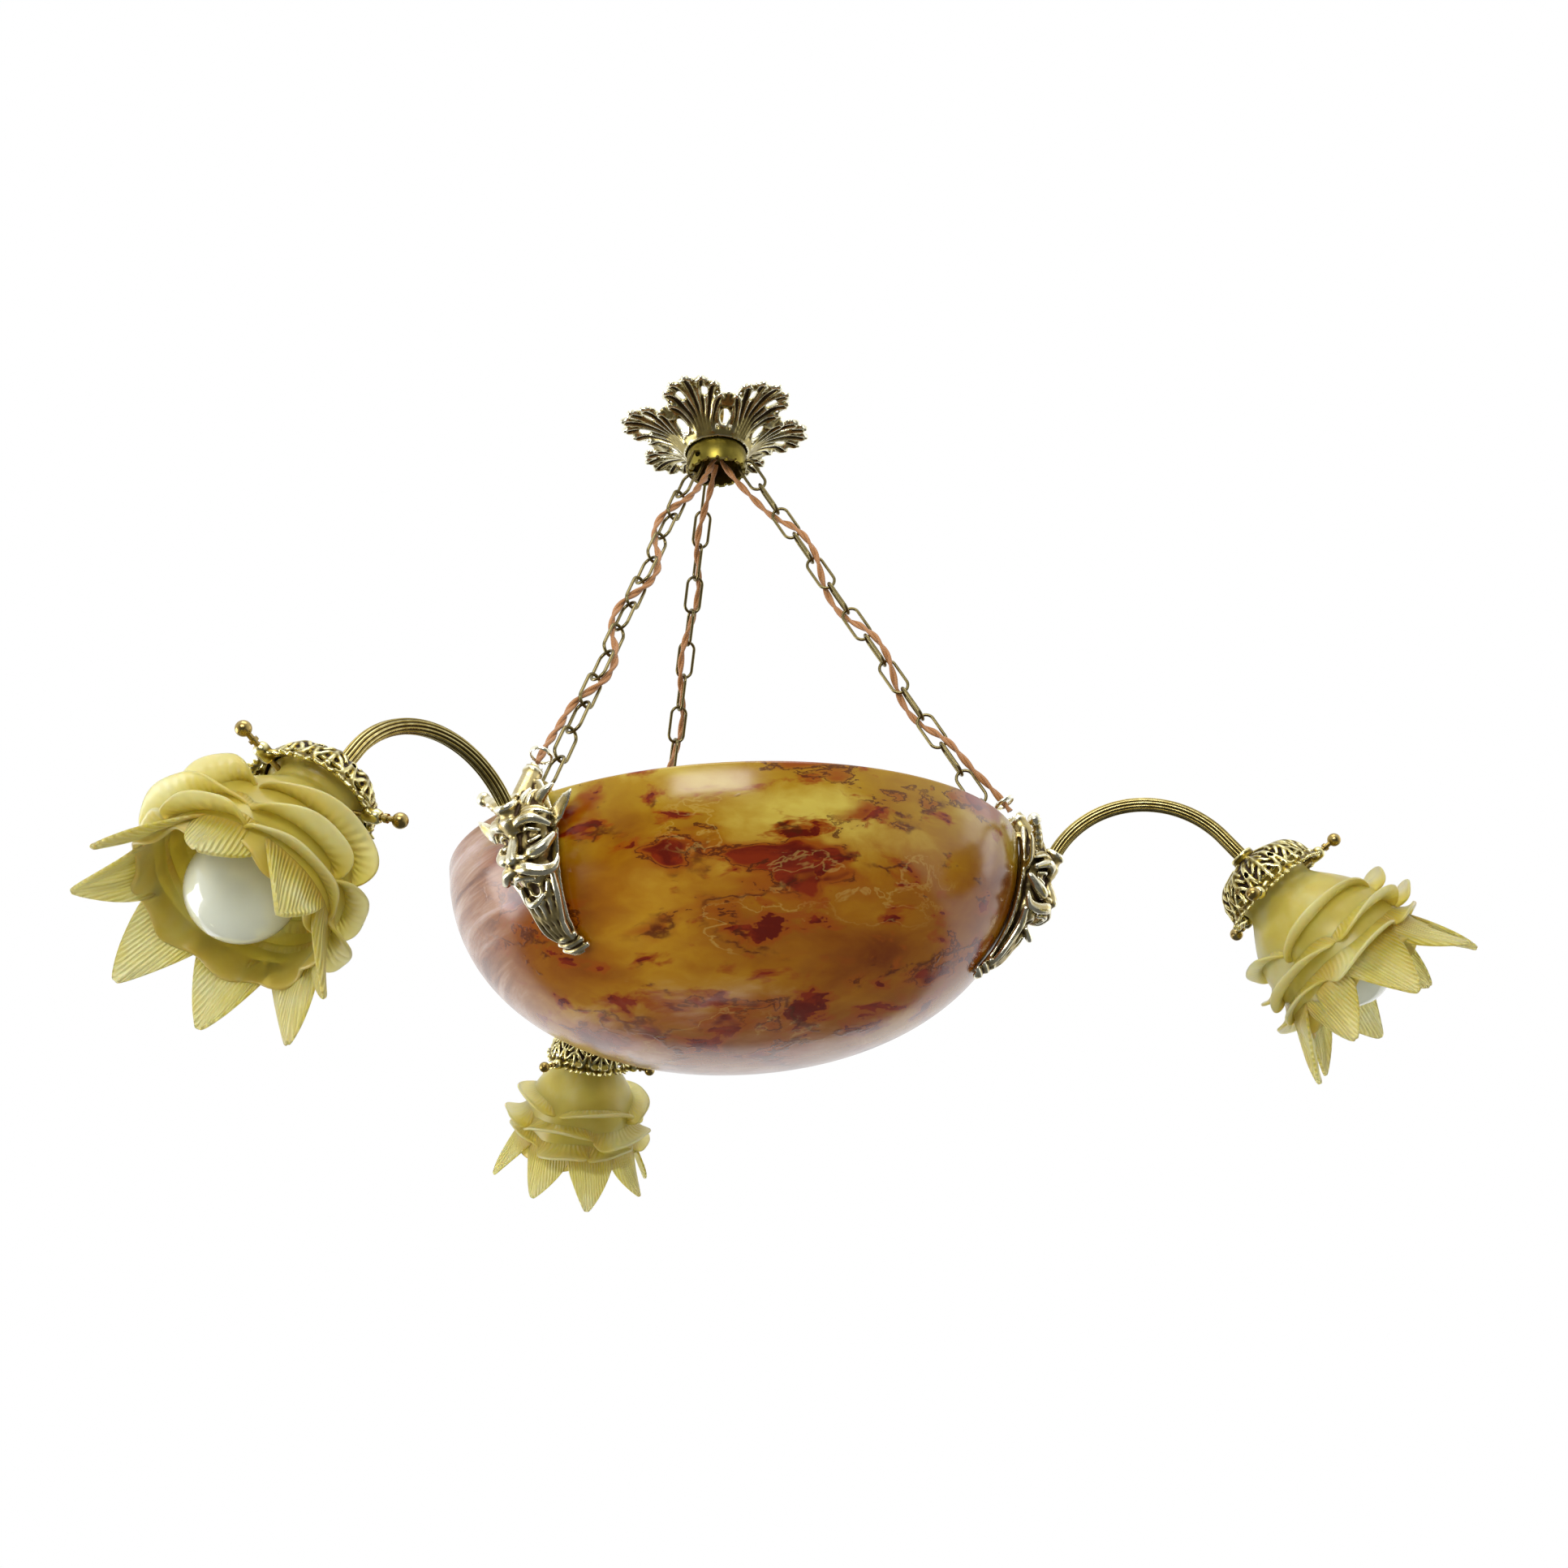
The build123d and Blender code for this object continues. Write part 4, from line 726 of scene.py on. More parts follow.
def shade_bell():
    section = curve_through([(27.6, 24.6), (28.2, 26.5), (26.0, 30.5), (24.6, 34), (25.4, 40), (33, 50), (41, 62),
                             (46.0, 76), (48.4, 90), (49.6, 103), (50.6, 113), (51.5, 119)], 30)
    around = np.linspace(0, 2 * pi, 72, endpoint=False)
    share = np.linspace(0, 1, len(section))[:, None]
    wave = 1 + 0.022 * np.sin(5 * around + 0.6) * share ** 2
    lip = np.clip(share * 5 - 4, 0, 1)
    rows = round_axis(section[:, 0][:, None] * wave - 3.0 * lip * np.cos(9 * around), around[None, :] + 0 * share,
                      section[:, 1][:, None] + 2.6 * np.sin(9 * around + 0.4) * lip)
    # deeper amber at the neck and the lip: glass colour with painted shade
    return glass_sheet("bell", rows, 0.55 * (1 - share) ** 3 + 0.5 * lip, 0 * share, 0 * share, closed=True)


def ruffle(name, foot, length, folds, roll, phase):
    """A skirt of loose lobes: deep folds part them, and in the middle of each lobe the lip rolls out and back."""
    rows, columns, lip_wave = 13, 132, 3.0
    around = np.linspace(0, 2 * pi, columns, endpoint=False)[None, :]
    out = np.linspace(0, 1, rows)[:, None]
    swing = folds * around + phase + 0.6 * np.sin(2 * around + 2 * phase) + 0.4 * np.sin(3 * around)
    lobe = (0.5 + 0.5 * np.cos(swing)) ** 0.8
    way = 0.42 + (roll * lobe - 0.25) * out ** 1.5
    stride = length * (0.75 + 0.25 * lobe) * (1 + 0.16 * np.sin(3 * around + 3 * phase)) / (rows - 1)
    radius = foot[0] + np.cumsum(np.sin(way) * stride, axis=0) + 0.7 * out ** 4 * np.sin(4 * swing)
    height = foot[1] + np.cumsum(np.cos(way) * stride, axis=0) + lip_wave * out ** 1.4 * np.sin(swing + 0.6)
    turn = around + 0.85 / folds * out ** 1.4 * np.sin(swing)
    seam = np.clip(6 * np.sin(around / 2), 0, 1)
    # deeper amber in the folds between lobes is painted shade; the paler lobe lips are a painted glow
    shade_and_glow_tint = 0.9 * (1 - lobe) * (1 - 0.6 * out) - 0.75 * out ** 2 * lobe
    return glass_sheet(name, round_axis(radius, turn, height), shade_and_glow_tint,
                       around / (2 * pi) * 96, 0.4 * np.sin(pi * out) * seam, closed=True)


def petal(name, length_share, sway, cup):
    """One pointed petal: broad at the bell, folded a little down its middle, ribbed from foot to tip."""
    across = np.linspace(-1, 1, 17)[None, :]
    out = np.linspace(0, 1, 14)[:, None]
    path = curve_through([(50.0, 103), (53.0, 113), (57.6, 124), (63.6, 135), (70.2, 146)], 14)
    half = 23.5 * (1 - out) ** 0.90 * (1 + 0.38 * out) + 1.3
    radius = path[0, 0] + (path[:, 0][:, None] - path[0, 0]) * length_share
    side = across * half + sway * out ** 2
    lift = cup * (2.6 * across ** 2 * (1 - out) * 4 * out - 1.6 * (1 - np.abs(across)) * out)
    wavy = 1.8 * np.sin(2.2 * pi * across + sway) * np.clip(1.4 * out, 0, 1) * (1 - out)
    radius = radius + lift + wavy
    height = path[0, 1] + (path[:, 1][:, None] - path[0, 1]) * length_share - 0.45 * (lift + wavy)
    turn = side / radius
    far = np.clip(1 - 3.0 * out, 0, 1) * 0.8
    # deeper amber at the petal's foot and sides is painted shade over the glass colour; the paler tip is a painted glow
    shade_and_glow_tint = far - 0.55 * out ** 1.5 + 0.25 * np.abs(across) ** 6
    return glass_sheet(name, round_axis(radius, turn, height + 0 * across), shade_and_glow_tint,
                       (across * half + 0.16 * out * 46) / 2.3, np.clip(4 * out, 0, 1) + 0 * across)


def shade_mesh():
    """The bell, three ruffles and two kinds of petal, each turned to its place round the shade."""
    sheets = [("bell", shade_bell(), 1, 0.0)]
    for name, foot, length, folds, roll, phase, turn in (("tier_a", (36.0, 56), 27.0, 4, 2.6, 0.4, 0.1),
                                                         ("tier_b", (43.0, 74), 26.0, 5, 2.3, 2.6, 0.5),
                                                         ("tier_c", (46.5, 91), 20.0, 6, 1.9, 4.4, 1.3)):
        sheets.append((name, ruffle(name, foot, length, folds, roll, phase), 1, turn))
    sheets += [("petals_a", petal("petal_a", 1.0, 2.5, 1.0), PETALS // 2, 0.0),
               ("petals_b", petal("petal_b", 0.93, -3.0, -0.8), PETALS // 2, 2 * pi / PETALS)]
    return joined([repeat_round(mesh, count, first, glass.material, name) for name, mesh, count, first in sheets],
                  "tulip_shade")


shade = shade_mesh()
print("shade faces:", len(shade.polygons))
place_three("tulip_shade", shade, shade_matrix, glass.material, "glass_shade")

# %% [markdown]
# ## Castings
# The rose, the cups and the masks were cast in brass from carved wax. They are modelled the way wax is worked:
# tapered strokes and balls are laid over each other, fused into one skin by a voxel remesh, hollows are carved
# out, and the skin is smoothed. Last, each point learns how far it stands proud of its surroundings, and that
# number drives the brass's tarnish and wear, with painted shade in the hollows and a painted highlight on what
# stands proud.

# %% Strokes, balls and turned pieces
def perpendicular(way, hint):
    side = hint - np.sum(hint * way, axis=-1, keepdims=True) * way
    size = np.linalg.norm(side, axis=-1, keepdims=True)
    return side / np.maximum(size, 1e-6)


def capped_faces(rings, sides):
    """Faces of closed rings of points and of the point at each end, which follow the rings."""
    faces, last = grid_faces(rings, sides, closed=True), (rings - 1) * sides
    for k in range(sides):
        after = (k + 1) % sides
        faces += [(rings * sides, after, k), (rings * sides + 1, last + k, last + after)]
    return faces


# a stroke's rounded end has a smaller ring past its line and a point past that, both counted in widths
END_RING_SIZE, END_RING_PAST, END_POINT_PAST = 0.72, 0.55, 0.7


def stroke(points, widths, depths=None, up=(0, 0, 1), samples=0, sides=12):
    """A tapered stroke through points: widths lie across it, depths along up, and both ends are rounded."""
    samples = samples or max(8, 5 * len(points))
    line = curve_through(points, samples)
    share = np.linspace(0, 1, samples)
    stops = np.linspace(0, 1, len(widths))
    wide = np.interp(share, stops, widths)
    deep = wide if depths is None else np.interp(share, np.linspace(0, 1, len(depths)), depths)
    way = np.gradient(line, axis=0)
    way /= np.maximum(np.linalg.norm(way, axis=1, keepdims=True), 1e-9)
    normal = perpendicular(way, np.broadcast_to(np.asarray(up, dtype=float), way.shape))
    across = np.cross(way, normal)
    turns = np.linspace(0, 2 * pi, sides, endpoint=False)
    start = line[0] - way[0] * wide[0] * END_POINT_PAST
    end = line[-1] + way[-1] * wide[-1] * END_POINT_PAST
    rings = []
    for index in range(-1, samples + 1):
        i = min(max(index, 0), samples - 1)
        past = index - i
        shrink = END_RING_SIZE if past else 1.0
        centre = line[i] + way[i] * wide[i] * (END_RING_PAST * past)
        rings.append(centre + shrink * (across[i] * wide[i] * np.cos(turns)[:, None]
                                        + normal[i] * deep[i] * np.sin(turns)[:, None]))
    return np.concatenate(rings + [start[None, :], end[None, :]]), capped_faces(samples + 2, sides)


def ball(centre, radii, axes=None, rings=10, sides=14):
    """An ellipsoid; axes turns its three radii to other directions."""
    axes = np.eye(3) if axes is None else np.asarray(axes, dtype=float)
    polar = np.linspace(0, pi, rings + 2)[1:-1]
    turns = np.linspace(0, 2 * pi, sides, endpoint=False)
    unit = [(sin(p) * cos(t), sin(p) * sin(t), cos(p)) for p in polar for t in turns] + [(0, 0, 1), (0, 0, -1)]
    return np.asarray(centre) + (np.array(unit) * np.asarray(radii)) @ axes, capped_faces(rings, sides)


def turned(section, steps=64):
    """A closed outline of (radius, height), turned round Z."""
    return spin(np.array(section + section[:1], dtype=float), steps)


def slab(low, high):
    corners = [(x, y, z) for x in (low[0], high[0]) for y in (low[1], high[1]) for z in (low[2], high[2])]
    return np.array(corners, dtype=float), [(0, 1, 3, 2), (4, 6, 7, 5), (0, 4, 5, 1), (2, 3, 7, 6), (0, 2, 6, 4),
                                            (1, 5, 7, 3)]


def rolled(shape, matrix):
    """A shape turned and moved by a matrix."""
    points = np.c_[shape[0], np.ones(len(shape[0]))] @ np.array(matrix).T
    return points[:, :3], shape[1]


# %% Fusing and carving
ROSE_VOXEL, FINE_VOXEL = 0.74, 0.66


def one_mesh(name, shapes):
    points, faces, offset = [], [], 0
    for shape_points, shape_faces in shapes:
        points.append(shape_points)
        faces += [tuple(i + offset for i in face) for face in shape_faces]
        offset += len(shape_points)
    return mesh_from(name, np.concatenate(points), faces)


def add_remesh(piece, voxel):
    remesh = piece.modifiers.new("remesh", "REMESH")
    remesh.mode, remesh.voxel_size = "VOXEL", voxel


def fuse(name, shapes, voxel, carved, rounds=2):
    """Strokes, or a mesh of them, made one skin, with hollows carved from it, and the skin smoothed."""
    piece = new_object(name, shapes if isinstance(shapes, bpy.types.Mesh) else one_mesh(name, shapes))
    tool = new_object("carving_tool", one_mesh("carving_tool", carved))
    add_remesh(tool, voxel)
    tool = new_object("carving_tool", evaluated_mesh(tool, "carving_tool"))
    add_remesh(piece, voxel)
    cut = piece.modifiers.new("carve", "BOOLEAN")
    cut.operation, cut.object, cut.solver = "DIFFERENCE", tool, "FAST"
    add_remesh(piece, voxel)
    soften = piece.modifiers.new("soften", "SMOOTH")
    soften.factor, soften.iterations = 0.5, rounds
    mesh = evaluated_mesh(piece, name)
    bpy.data.objects.remove(tool)
    mesh.polygons.foreach_set("use_smooth", [True] * len(mesh.polygons))
    return mesh


def mesh_points(mesh):
    points = np.empty(len(mesh.vertices) * 3)
    mesh.vertices.foreach_get("co", points)
    return points.reshape(-1, 3)


def store_wear_and_shading(mesh, reach, depth):
    """Compare each point with the average of its surroundings: proud points score over 0.5, hollows under."""
    points = mesh_points(mesh)
    normals = np.empty(len(mesh.vertices) * 3)
    mesh.vertices.foreach_get("normal", normals)
    normals = normals.reshape(-1, 3)
    ends = np.empty(len(mesh.edges) * 2, dtype=int)
    mesh.edges.foreach_get("vertices", ends)
    a, b = ends.reshape(-1, 2).T
    count = np.bincount(a, minlength=len(points)) + np.bincount(b, minlength=len(points))

    def average(values):
        total = np.bincount(a, values[b], len(points)) + np.bincount(b, values[a], len(points))
        return total / np.maximum(count, 1)

    flat = points.copy()
    for _ in range(reach):
        flat = np.stack([average(flat[:, k]) for k in range(3)], axis=1)
    proud = np.sum((points - flat) * normals, axis=1)
    proud = 0.5 * proud + 0.5 * average(average(proud))
    # the number gives tarnish and wear, with painted shade in hollows and a painted highlight on proud points
    add_value(mesh, "wear_and_shading", np.clip(0.5 + proud / depth, 0, 1))
    print(f"{mesh.name}: {len(mesh.polygons)} faces, wear {np.percentile(proud, 10):.2f} to "
          f"{np.percentile(proud, 90):.2f} mm")
    return mesh


# %% [markdown]
# ## The rose
# Six acanthus leaves spread from the collar. A leaf is a fan of seven fingers whose ribs run together at its
# foot. Each finger has two raised lips with a dark trough between them, and ends in three round knobs. Two ovals
# pierce each leaf. Between two leaves stand a ring and a small shell. One leaf and one shell are drawn, and the
# tree repeats them six times before they are fused.

# %% Leaf of the rose
LEAF_COUNT, LEAF_TURN, LEAF_FOOT = 6, -9.0, 25.8


def leaf_height(radius):
    """Height of the leaves' middle at a distance from the lamp's axis."""
    return np.interp(radius, [22, 26, 32, 40, 52, 64, 77], [-34.5, -28.5, -21.5, -15.5, -10.6, -8.8, -8.4])


def finger(tip_radius, tip_side, foot_side, width):
    """One finger of a leaf: a broad stroke with two raised lips, and knobs round its tip."""
    share = np.array([0, 0.25, 0.5, 0.75, 1.0])
    radius = LEAF_FOOT + (tip_radius - LEAF_FOOT) * share
    side = foot_side + (tip_side - foot_side) * share ** 1.5
    spine = np.stack([radius, side, leaf_height(radius) - [0, 0.2, 0.4, 0, 0.8]], axis=1)
    shapes = [stroke(spine, np.array([0.36, 0.66, 0.86, 1, 0.9]) * width, [1.3, 1.3, 1.3, 1.3, 1.4], samples=26)]
    lean = np.arctan2(tip_side - foot_side, tip_radius - LEAF_FOOT)
    for sign in (-1, 1):
        apart = sign * width * np.array([0.26, 0.5, 0.62, 0.76, 0.62])
        lip = spine + np.stack([-apart * sin(lean), apart * cos(lean), [-1.5, -1.7, -1.9, -1.9, -2.4]], axis=1)
        shapes.append(stroke(lip, [0.8, 1.0, 1.05, 1.1, 1.0], samples=26, sides=8))
    for back, apart, size in ((-0.9, 0, 2.5), (2.2, 0.95, 2.3), (2.2, -0.95, 2.3), (6.4, 1.15, 1.9),
                              (6.4, -1.15, 1.9)):
        centre = (tip_radius - back * cos(lean) - apart * width * sin(lean),
                  tip_side - back * sin(lean) + apart * width * cos(lean))
        shapes.append(ball((*centre, leaf_height(tip_radius) - 1.9), (size, size, size * 0.9)))
    return shapes


def rose_leaf():
    shapes = [stroke([(26, 0, leaf_height(26)), (40, 0, leaf_height(40)), (57, 0, leaf_height(57))], [6.5, 13, 13],
                     [0.9, 0.9], samples=20, sides=24)]
    for tip_radius, tip_side, foot_side, width in ((72.6, 0, 0, 3.9), (69.0, 11.8, 2.2, 3.8), (60.5, 19.2, 4.4, 3.7),
                                                   (48.0, 20.4, 6.6, 3.2)):
        for sign in ((1,) if tip_side == 0 else (1, -1)):
            shapes += finger(tip_radius, sign * tip_side, sign * foot_side, width)
    return shapes


def leaf_ovals():
    """The two pierced ovals of a leaf."""
    return [stroke([(51, sign * 8.6, leaf_height(51)), (57.5, sign * 10.8, leaf_height(57))], [2.1, 2.3], [9, 9],
                   samples=8) for sign in (-1, 1)]


# %% Shell between two leaves
def rose_shell():
    """Ring round the pierced eye between two leaves, with a small shell over it."""
    ring_turns = np.linspace(0, 2 * pi, 17)
    ring_line = [(34.5 + 5.9 * cos(t), 5.0 * sin(t), leaf_height(34.5 + 5.9 * cos(t)) - 0.8) for t in ring_turns]
    shapes = [stroke(ring_line, [1.6, 1.6], samples=40)]
    for side, reach in ((-4.6, 49), (-2.3, 52.5), (0, 54), (2.3, 52.5), (4.6, 49)):
        line = [(40.0, side * 0.35, leaf_height(40) - 1.4), (45, side * 0.8, leaf_height(45) - 3.0),
                (reach, side * 1.15, leaf_height(reach) - 2.0)]
        shapes.append(stroke(line, [1.2, 1.7, 1.3]))
    return shapes


def repeated(shapes, count, first=0):
    """Shapes turned to several places round Z, the first of them at a number of degrees."""
    turns = [Matrix.Rotation(radians(first + number * 360 / count), 4, "Z") for number in range(count)]
    return [rolled(shape, turn) for turn in turns for shape in shapes]


# %% Ceiling rose
hub = turned([(4.3, -28.0), (4.3, -25.0), (22.0, -25.0), (28.0, -25.6), (28.0, -28.6), (24.2, -33.5), (23.9, -28.0)])
wiring_hole = rolled(stroke([(0, 0, -40), (0, 0, -20)], [3.4, 3.4], up=(1, 0, 0)),
                     Matrix.Translation((13 * cos(pi / 6), 13 * sin(pi / 6), 0)))
rose_wax = joined([
    repeat_round(one_mesh("leaf", rose_leaf()), LEAF_COUNT, radians(LEAF_TURN), rose_brass, "leaves"),
    repeat_round(one_mesh("shell", rose_shell()), LEAF_COUNT, radians(LEAF_TURN + 180 / LEAF_COUNT), rose_brass,
                 "shells"),
    one_mesh("hub", [hub])], "rose_wax")
rose_holes = repeated(leaf_ovals(), LEAF_COUNT, LEAF_TURN) + [wiring_hole]
rose_mesh = store_wear_and_shading(fuse("acanthus_rose", rose_wax, ROSE_VOXEL, rose_holes), 12, 1.3)
rose_mesh.transform(Matrix.Scale(MM, 4))
rose_mesh.materials.clear()
rose_mesh.materials.append(rose_brass)
rose = new_object("acanthus_rose", rose_mesh)
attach(rose, "crown")
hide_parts("ceiling_crown")

# %% [markdown]
# ## The cups that hold the shades
# Each cup is a thin cast dome, covered with veined leaves and pierced between them. Its rim is a lace of small
# pointed lobes that curl outward, and three lugs on the rim take the thumbscrews. Nine units go round a cup, in
# three versions that differ a little, as hand-carved wax does.

# %% One unit of a cup
CUP_UNITS = 9
CUP_KNOTS = [(8.2, 5.2), (15.5, 8.6), (24.5, 12.4), (29.6, 17.6), (32.6, 24.5), (34.2, 32.6), (36.8, 35.6)]
CUP_CURVE = curve_through(CUP_KNOTS, 61)
wax_hand = np.random.default_rng(7)


def cup_point(share, turn, out=0.0):
    """A point on the cup: its share of the way up, its degrees round and how far it stands proud."""
    shares = np.linspace(0, 1, len(CUP_CURVE))
    radius = np.interp(share, shares, CUP_CURVE[:, 0]) + out
    height = np.interp(share, shares, CUP_CURVE[:, 1])
    return radius * cos(radians(turn)), radius * sin(radians(turn)), height - 0.3 * out


def cup_stroke(places, widths, depths):
    """A stroke on the cup's surface, through places as cup_point takes them."""
    points = [cup_point(*place) for place in places]
    middle = np.mean([place[1] for place in places])
    return stroke(points, widths, depths, up=(cos(radians(middle)), sin(radians(middle)), -0.35))


def cup_unit(lean, reach):
    """A veined leaf with its side veins, and the lobes of the rim over it."""
    shapes = [cup_stroke([(0.06, 0, 0.9), (0.34, 0.3 * lean, 1.5), (0.6, 0.7 * lean, 1.4), (0.80, lean, 0.8)],
                         [1.9, 1.9, 1.6, 1.5], [1.5, 1.5, 1.3, 1.1])]
    for sign in (-1, 1):
        for start, end, swing in ((0.20, 0.40, 10.5), (0.36, 0.56, 12.5), (0.52, 0.72, 13.0)):
            shapes.append(cup_stroke([(start, 0.3 * lean, 1.0), (start + 0.10, sign * 0.5 * swing + 0.4 * lean, 1.5),
                                      (end, sign * swing + 0.5 * lean, 0.9)], [1.1, 1.6, 1.1], [1.1, 1.2, 0.9]))
        shapes.append(cup_stroke([(0.10, sign * 19.5, 0.5), (0.36, sign * 19, 0.9), (0.60, sign * 17.5, 1.0),
                                  (0.78, sign * 13, 0.9), (0.80, sign * 7.5, 1.0)], [1.4, 1.5, 1.5, 1.4, 1.1],
                                 [1.0, 1.1, 1.1, 1.1, 1.0]))
        shapes.append(cup_stroke([(0.76, sign * 16.5, 0.2), (0.88, sign * 15 + 0.4 * lean, 0.9),
                                  (0.95, sign * 13.5 + 0.4 * lean, 1.7)], [1.9, 2.3, 1.1], [1.1, 1.1, 0.8]))
        shapes.append(cup_stroke([(0.80, sign * 3.5 + lean, 0.3), (0.90, sign * 6.5 + lean, 1.1),
                                  (0.96, sign * 8.2 + lean, 1.9)], [1.7, 2.0, 1.0], [1.1, 1.0, 0.8]))
    shapes.append(cup_stroke([(0.80, lean, 0.5), (0.91, 1.2 * lean, 1.4), (reach, 1.5 * lean, 2.5)], [1.9, 2.5, 1.1],
                             [1.2, 1.1, 0.8]))
    shapes.append(ball(cup_point(0.78, lean, 1.3), (1.9, 1.9, 1.9)))
    return shapes


def cup_band(share, width, depth, wave=0.0):
    """A raised band round the cup, straight or waved once for each unit."""
    places = [cup_point(share + wave * cos(CUP_UNITS * t), t * 180 / pi, 0.2) for t in np.linspace(0, 2 * pi, 73)]
    return stroke(places, [width, width], [depth, depth], up=(0.1, 0.05, 1), samples=180, sides=8)


# %% Openwork cups
cup_collar = turned([(4.05, 0.0), (4.05, 8.5), (15.0, 10.6), (22.5, 14.0), (24.5, 13.0), (16.0, 8.0), (9.6, 6.6),
                     (8.4, 5.4), (8.8, 4.2), (8.0, 2.6), (8.6, 1.2), (8.2, 0.0)])
skin_shares = np.linspace(0.36, 0.70, 8)
cup_skin = turned([(cup_point(share, 0, -0.2)[0], cup_point(share, 0)[2] - 0.2) for share in skin_shares]
                  + [(cup_point(share, 0, -1.7)[0], cup_point(share, 0)[2] + 0.8) for share in skin_shares[::-1]], 96)
SCREW_LEVEL, LUG_COUNT = 32.4, 3
lugs = repeated([stroke([(34.6, 0, SCREW_LEVEL), (41.0, 0, SCREW_LEVEL)], [4.2, 4.5], up=(0, 1, 0), samples=12,
                        sides=20),
                 stroke([(33, -7, 30), (35.6, -3.5, 32), (35.6, 3.5, 32), (33, 7, 30)], [1.8, 2.6, 2.6, 1.8])],
                LUG_COUNT)
cup_holes = repeated([stroke([(26.5, 0, SCREW_LEVEL), (45.0, 0, SCREW_LEVEL)], [1.9, 1.9], up=(0, 1, 0),
                             samples=8)], LUG_COUNT)
for number in range(CUP_UNITS):
    turn_hole = 40.0 + number * 360 / CUP_UNITS
    lean = (0.3 * cos(radians(turn_hole)), 0.3 * sin(radians(turn_hole)), 1)
    cup_holes.append(stroke([cup_point(0.50, turn_hole, out) for out in (4, -5)], [1.5, 1.5], [2.6, 2.6], up=lean,
                            samples=8))
cup_shapes = [cup_collar, cup_skin, cup_band(0.30, 1.2, 1.2), cup_band(0.70, 1.0, 1.2),
              cup_band(0.84, 1.2, 1.0, 0.012)]
for version in range(3):
    unit = cup_unit(wax_hand.uniform(-1.6, 1.6), wax_hand.uniform(0.97, 1.0))
    cup_shapes += repeated(unit, 3, 20.0 + 40.0 * version)
cup_mesh = store_wear_and_shading(fuse("openwork_cup", cup_shapes + lugs, FINE_VOXEL, cup_holes), 12, 1.1)
place_three("openwork_cup", cup_mesh, shade_matrix, cast_brass, "gallery")

# %% [markdown]
# ## The masks
# A mask is a horned, bearded satyr that clasps the bowl's edge. It is built on the bowl's own curve: a point is
# given by its distance across, its depth below the rim and how far it stands off the stone. The head is laid up
# from big forms to small ones: skull, cheeks, brow, nose, moustache, the strands of the beard, then ears and horns.

# %% Points on the bowl
MODEL_LEVELS, MASK_LEVELS = [-20, 0, 23, 44, 57, 67, 100], [-20, 0, 20, 39, 50, 59, 90]
HEAD_WIDTH, SKIN_GAP = 1.14, 0.4


def on_bowl(across, depth, off):
    """A point off the bowl's wall, in the plane of one arm; the head is modelled a little long and narrow."""
    across = across * float(np.interp(depth, [55, 75], [HEAD_WIDTH, 1.0]))
    depth = float(np.interp(depth, MODEL_LEVELS, MASK_LEVELS))
    level = max(depth, 0.0)
    radius = float(bowl_radius_at(level, SKIN_GAP))
    tilt = np.arctan(radius - float(bowl_radius_at(level + 1.0, SKIN_GAP)))
    around = across / radius
    outward = radius + off * cos(tilt)
    return np.array([outward * cos(around), outward * sin(around), -depth - off * sin(tilt)])


def carve_stroke(places, widths, depths=None, samples=0):
    return stroke([on_bowl(*place) for place in places], widths, depths, up=(1, 0, 0), samples=samples)


def both_sides(places, widths):
    mirrored = [(-across, depth, off) for across, depth, off in places]
    return [carve_stroke(places, widths), carve_stroke(mirrored, widths)]


# %% Head, brow, nose and cheeks
def satyr_head():
    shapes = [
        carve_stroke([(0, 1, 3), (0, 30, 3), (0, 62, 3), (0, 84, 3), (0, 99, 2.6)], [15, 23, 15, 9, 8],
                     [3.0, 3.4, 3.4, 2.8, 2.4], samples=40),
        ball(on_bowl(0, 30, 5), (13, 17.5, 25)), ball(on_bowl(0, 52, 6), (11, 13, 13)),
        ball(on_bowl(0, 16, 6), (11, 13, 12)), ball(on_bowl(0, 62, 5), (8, 10, 10))]
    shapes += both_sides([(3.5, 41, 15.5), (9, 42.5, 18), (14.5, 40, 15), (18.5, 34, 9)], [3.0, 4.4, 4.0, 2.5])
    shapes += both_sides([(2.0, 27.5, 19.5), (6.5, 24.0, 21.5), (13, 23.5, 19.5), (19, 28.0, 12.5)],
                         [2.6, 3.7, 3.3, 1.9])
    for lift, length in ((0, 1.0), (2.6, 0.92), (5.0, 0.8)):
        shapes += both_sides([(2.4, 25.6 - lift, 20.5 - 0.5 * lift), (8 * length, 20.5 - lift, 21.5 - 0.7 * lift),
                              (15 * length, 19.0 - lift, 18.0 - 0.7 * lift), (21 * length, 22.5 - 1.3 * lift, 12)],
                             [1.2, 1.7, 1.5, 0.9])
    shapes.append(carve_stroke([(0, 26, 16.5), (0, 33, 19.5), (0, 40, 23), (0, 44.5, 25)], [3.0, 3.1, 3.6, 4.4],
                               [3.2, 3.2, 3.6, 3.8]))
    shapes += both_sides([(3.0, 44.5, 22.5), (5.0, 44.8, 21)], [3.0, 2.6])
    shapes += both_sides([(4.0, 33.6, 14.5), (8.5, 35.8, 17.4), (13.5, 33.6, 14)], [1.1, 1.4, 1.0])
    shapes += both_sides([(4.2, 30.5, 15.6), (8.5, 28.6, 18.2), (13.5, 30.4, 14)], [1.2, 1.6, 1.1])
    for sign in (-1, 1):
        shapes.append(ball(on_bowl(sign * 8.6, 32.2, 12.6), (4.2, 4.2, 4.2)))
    return shapes


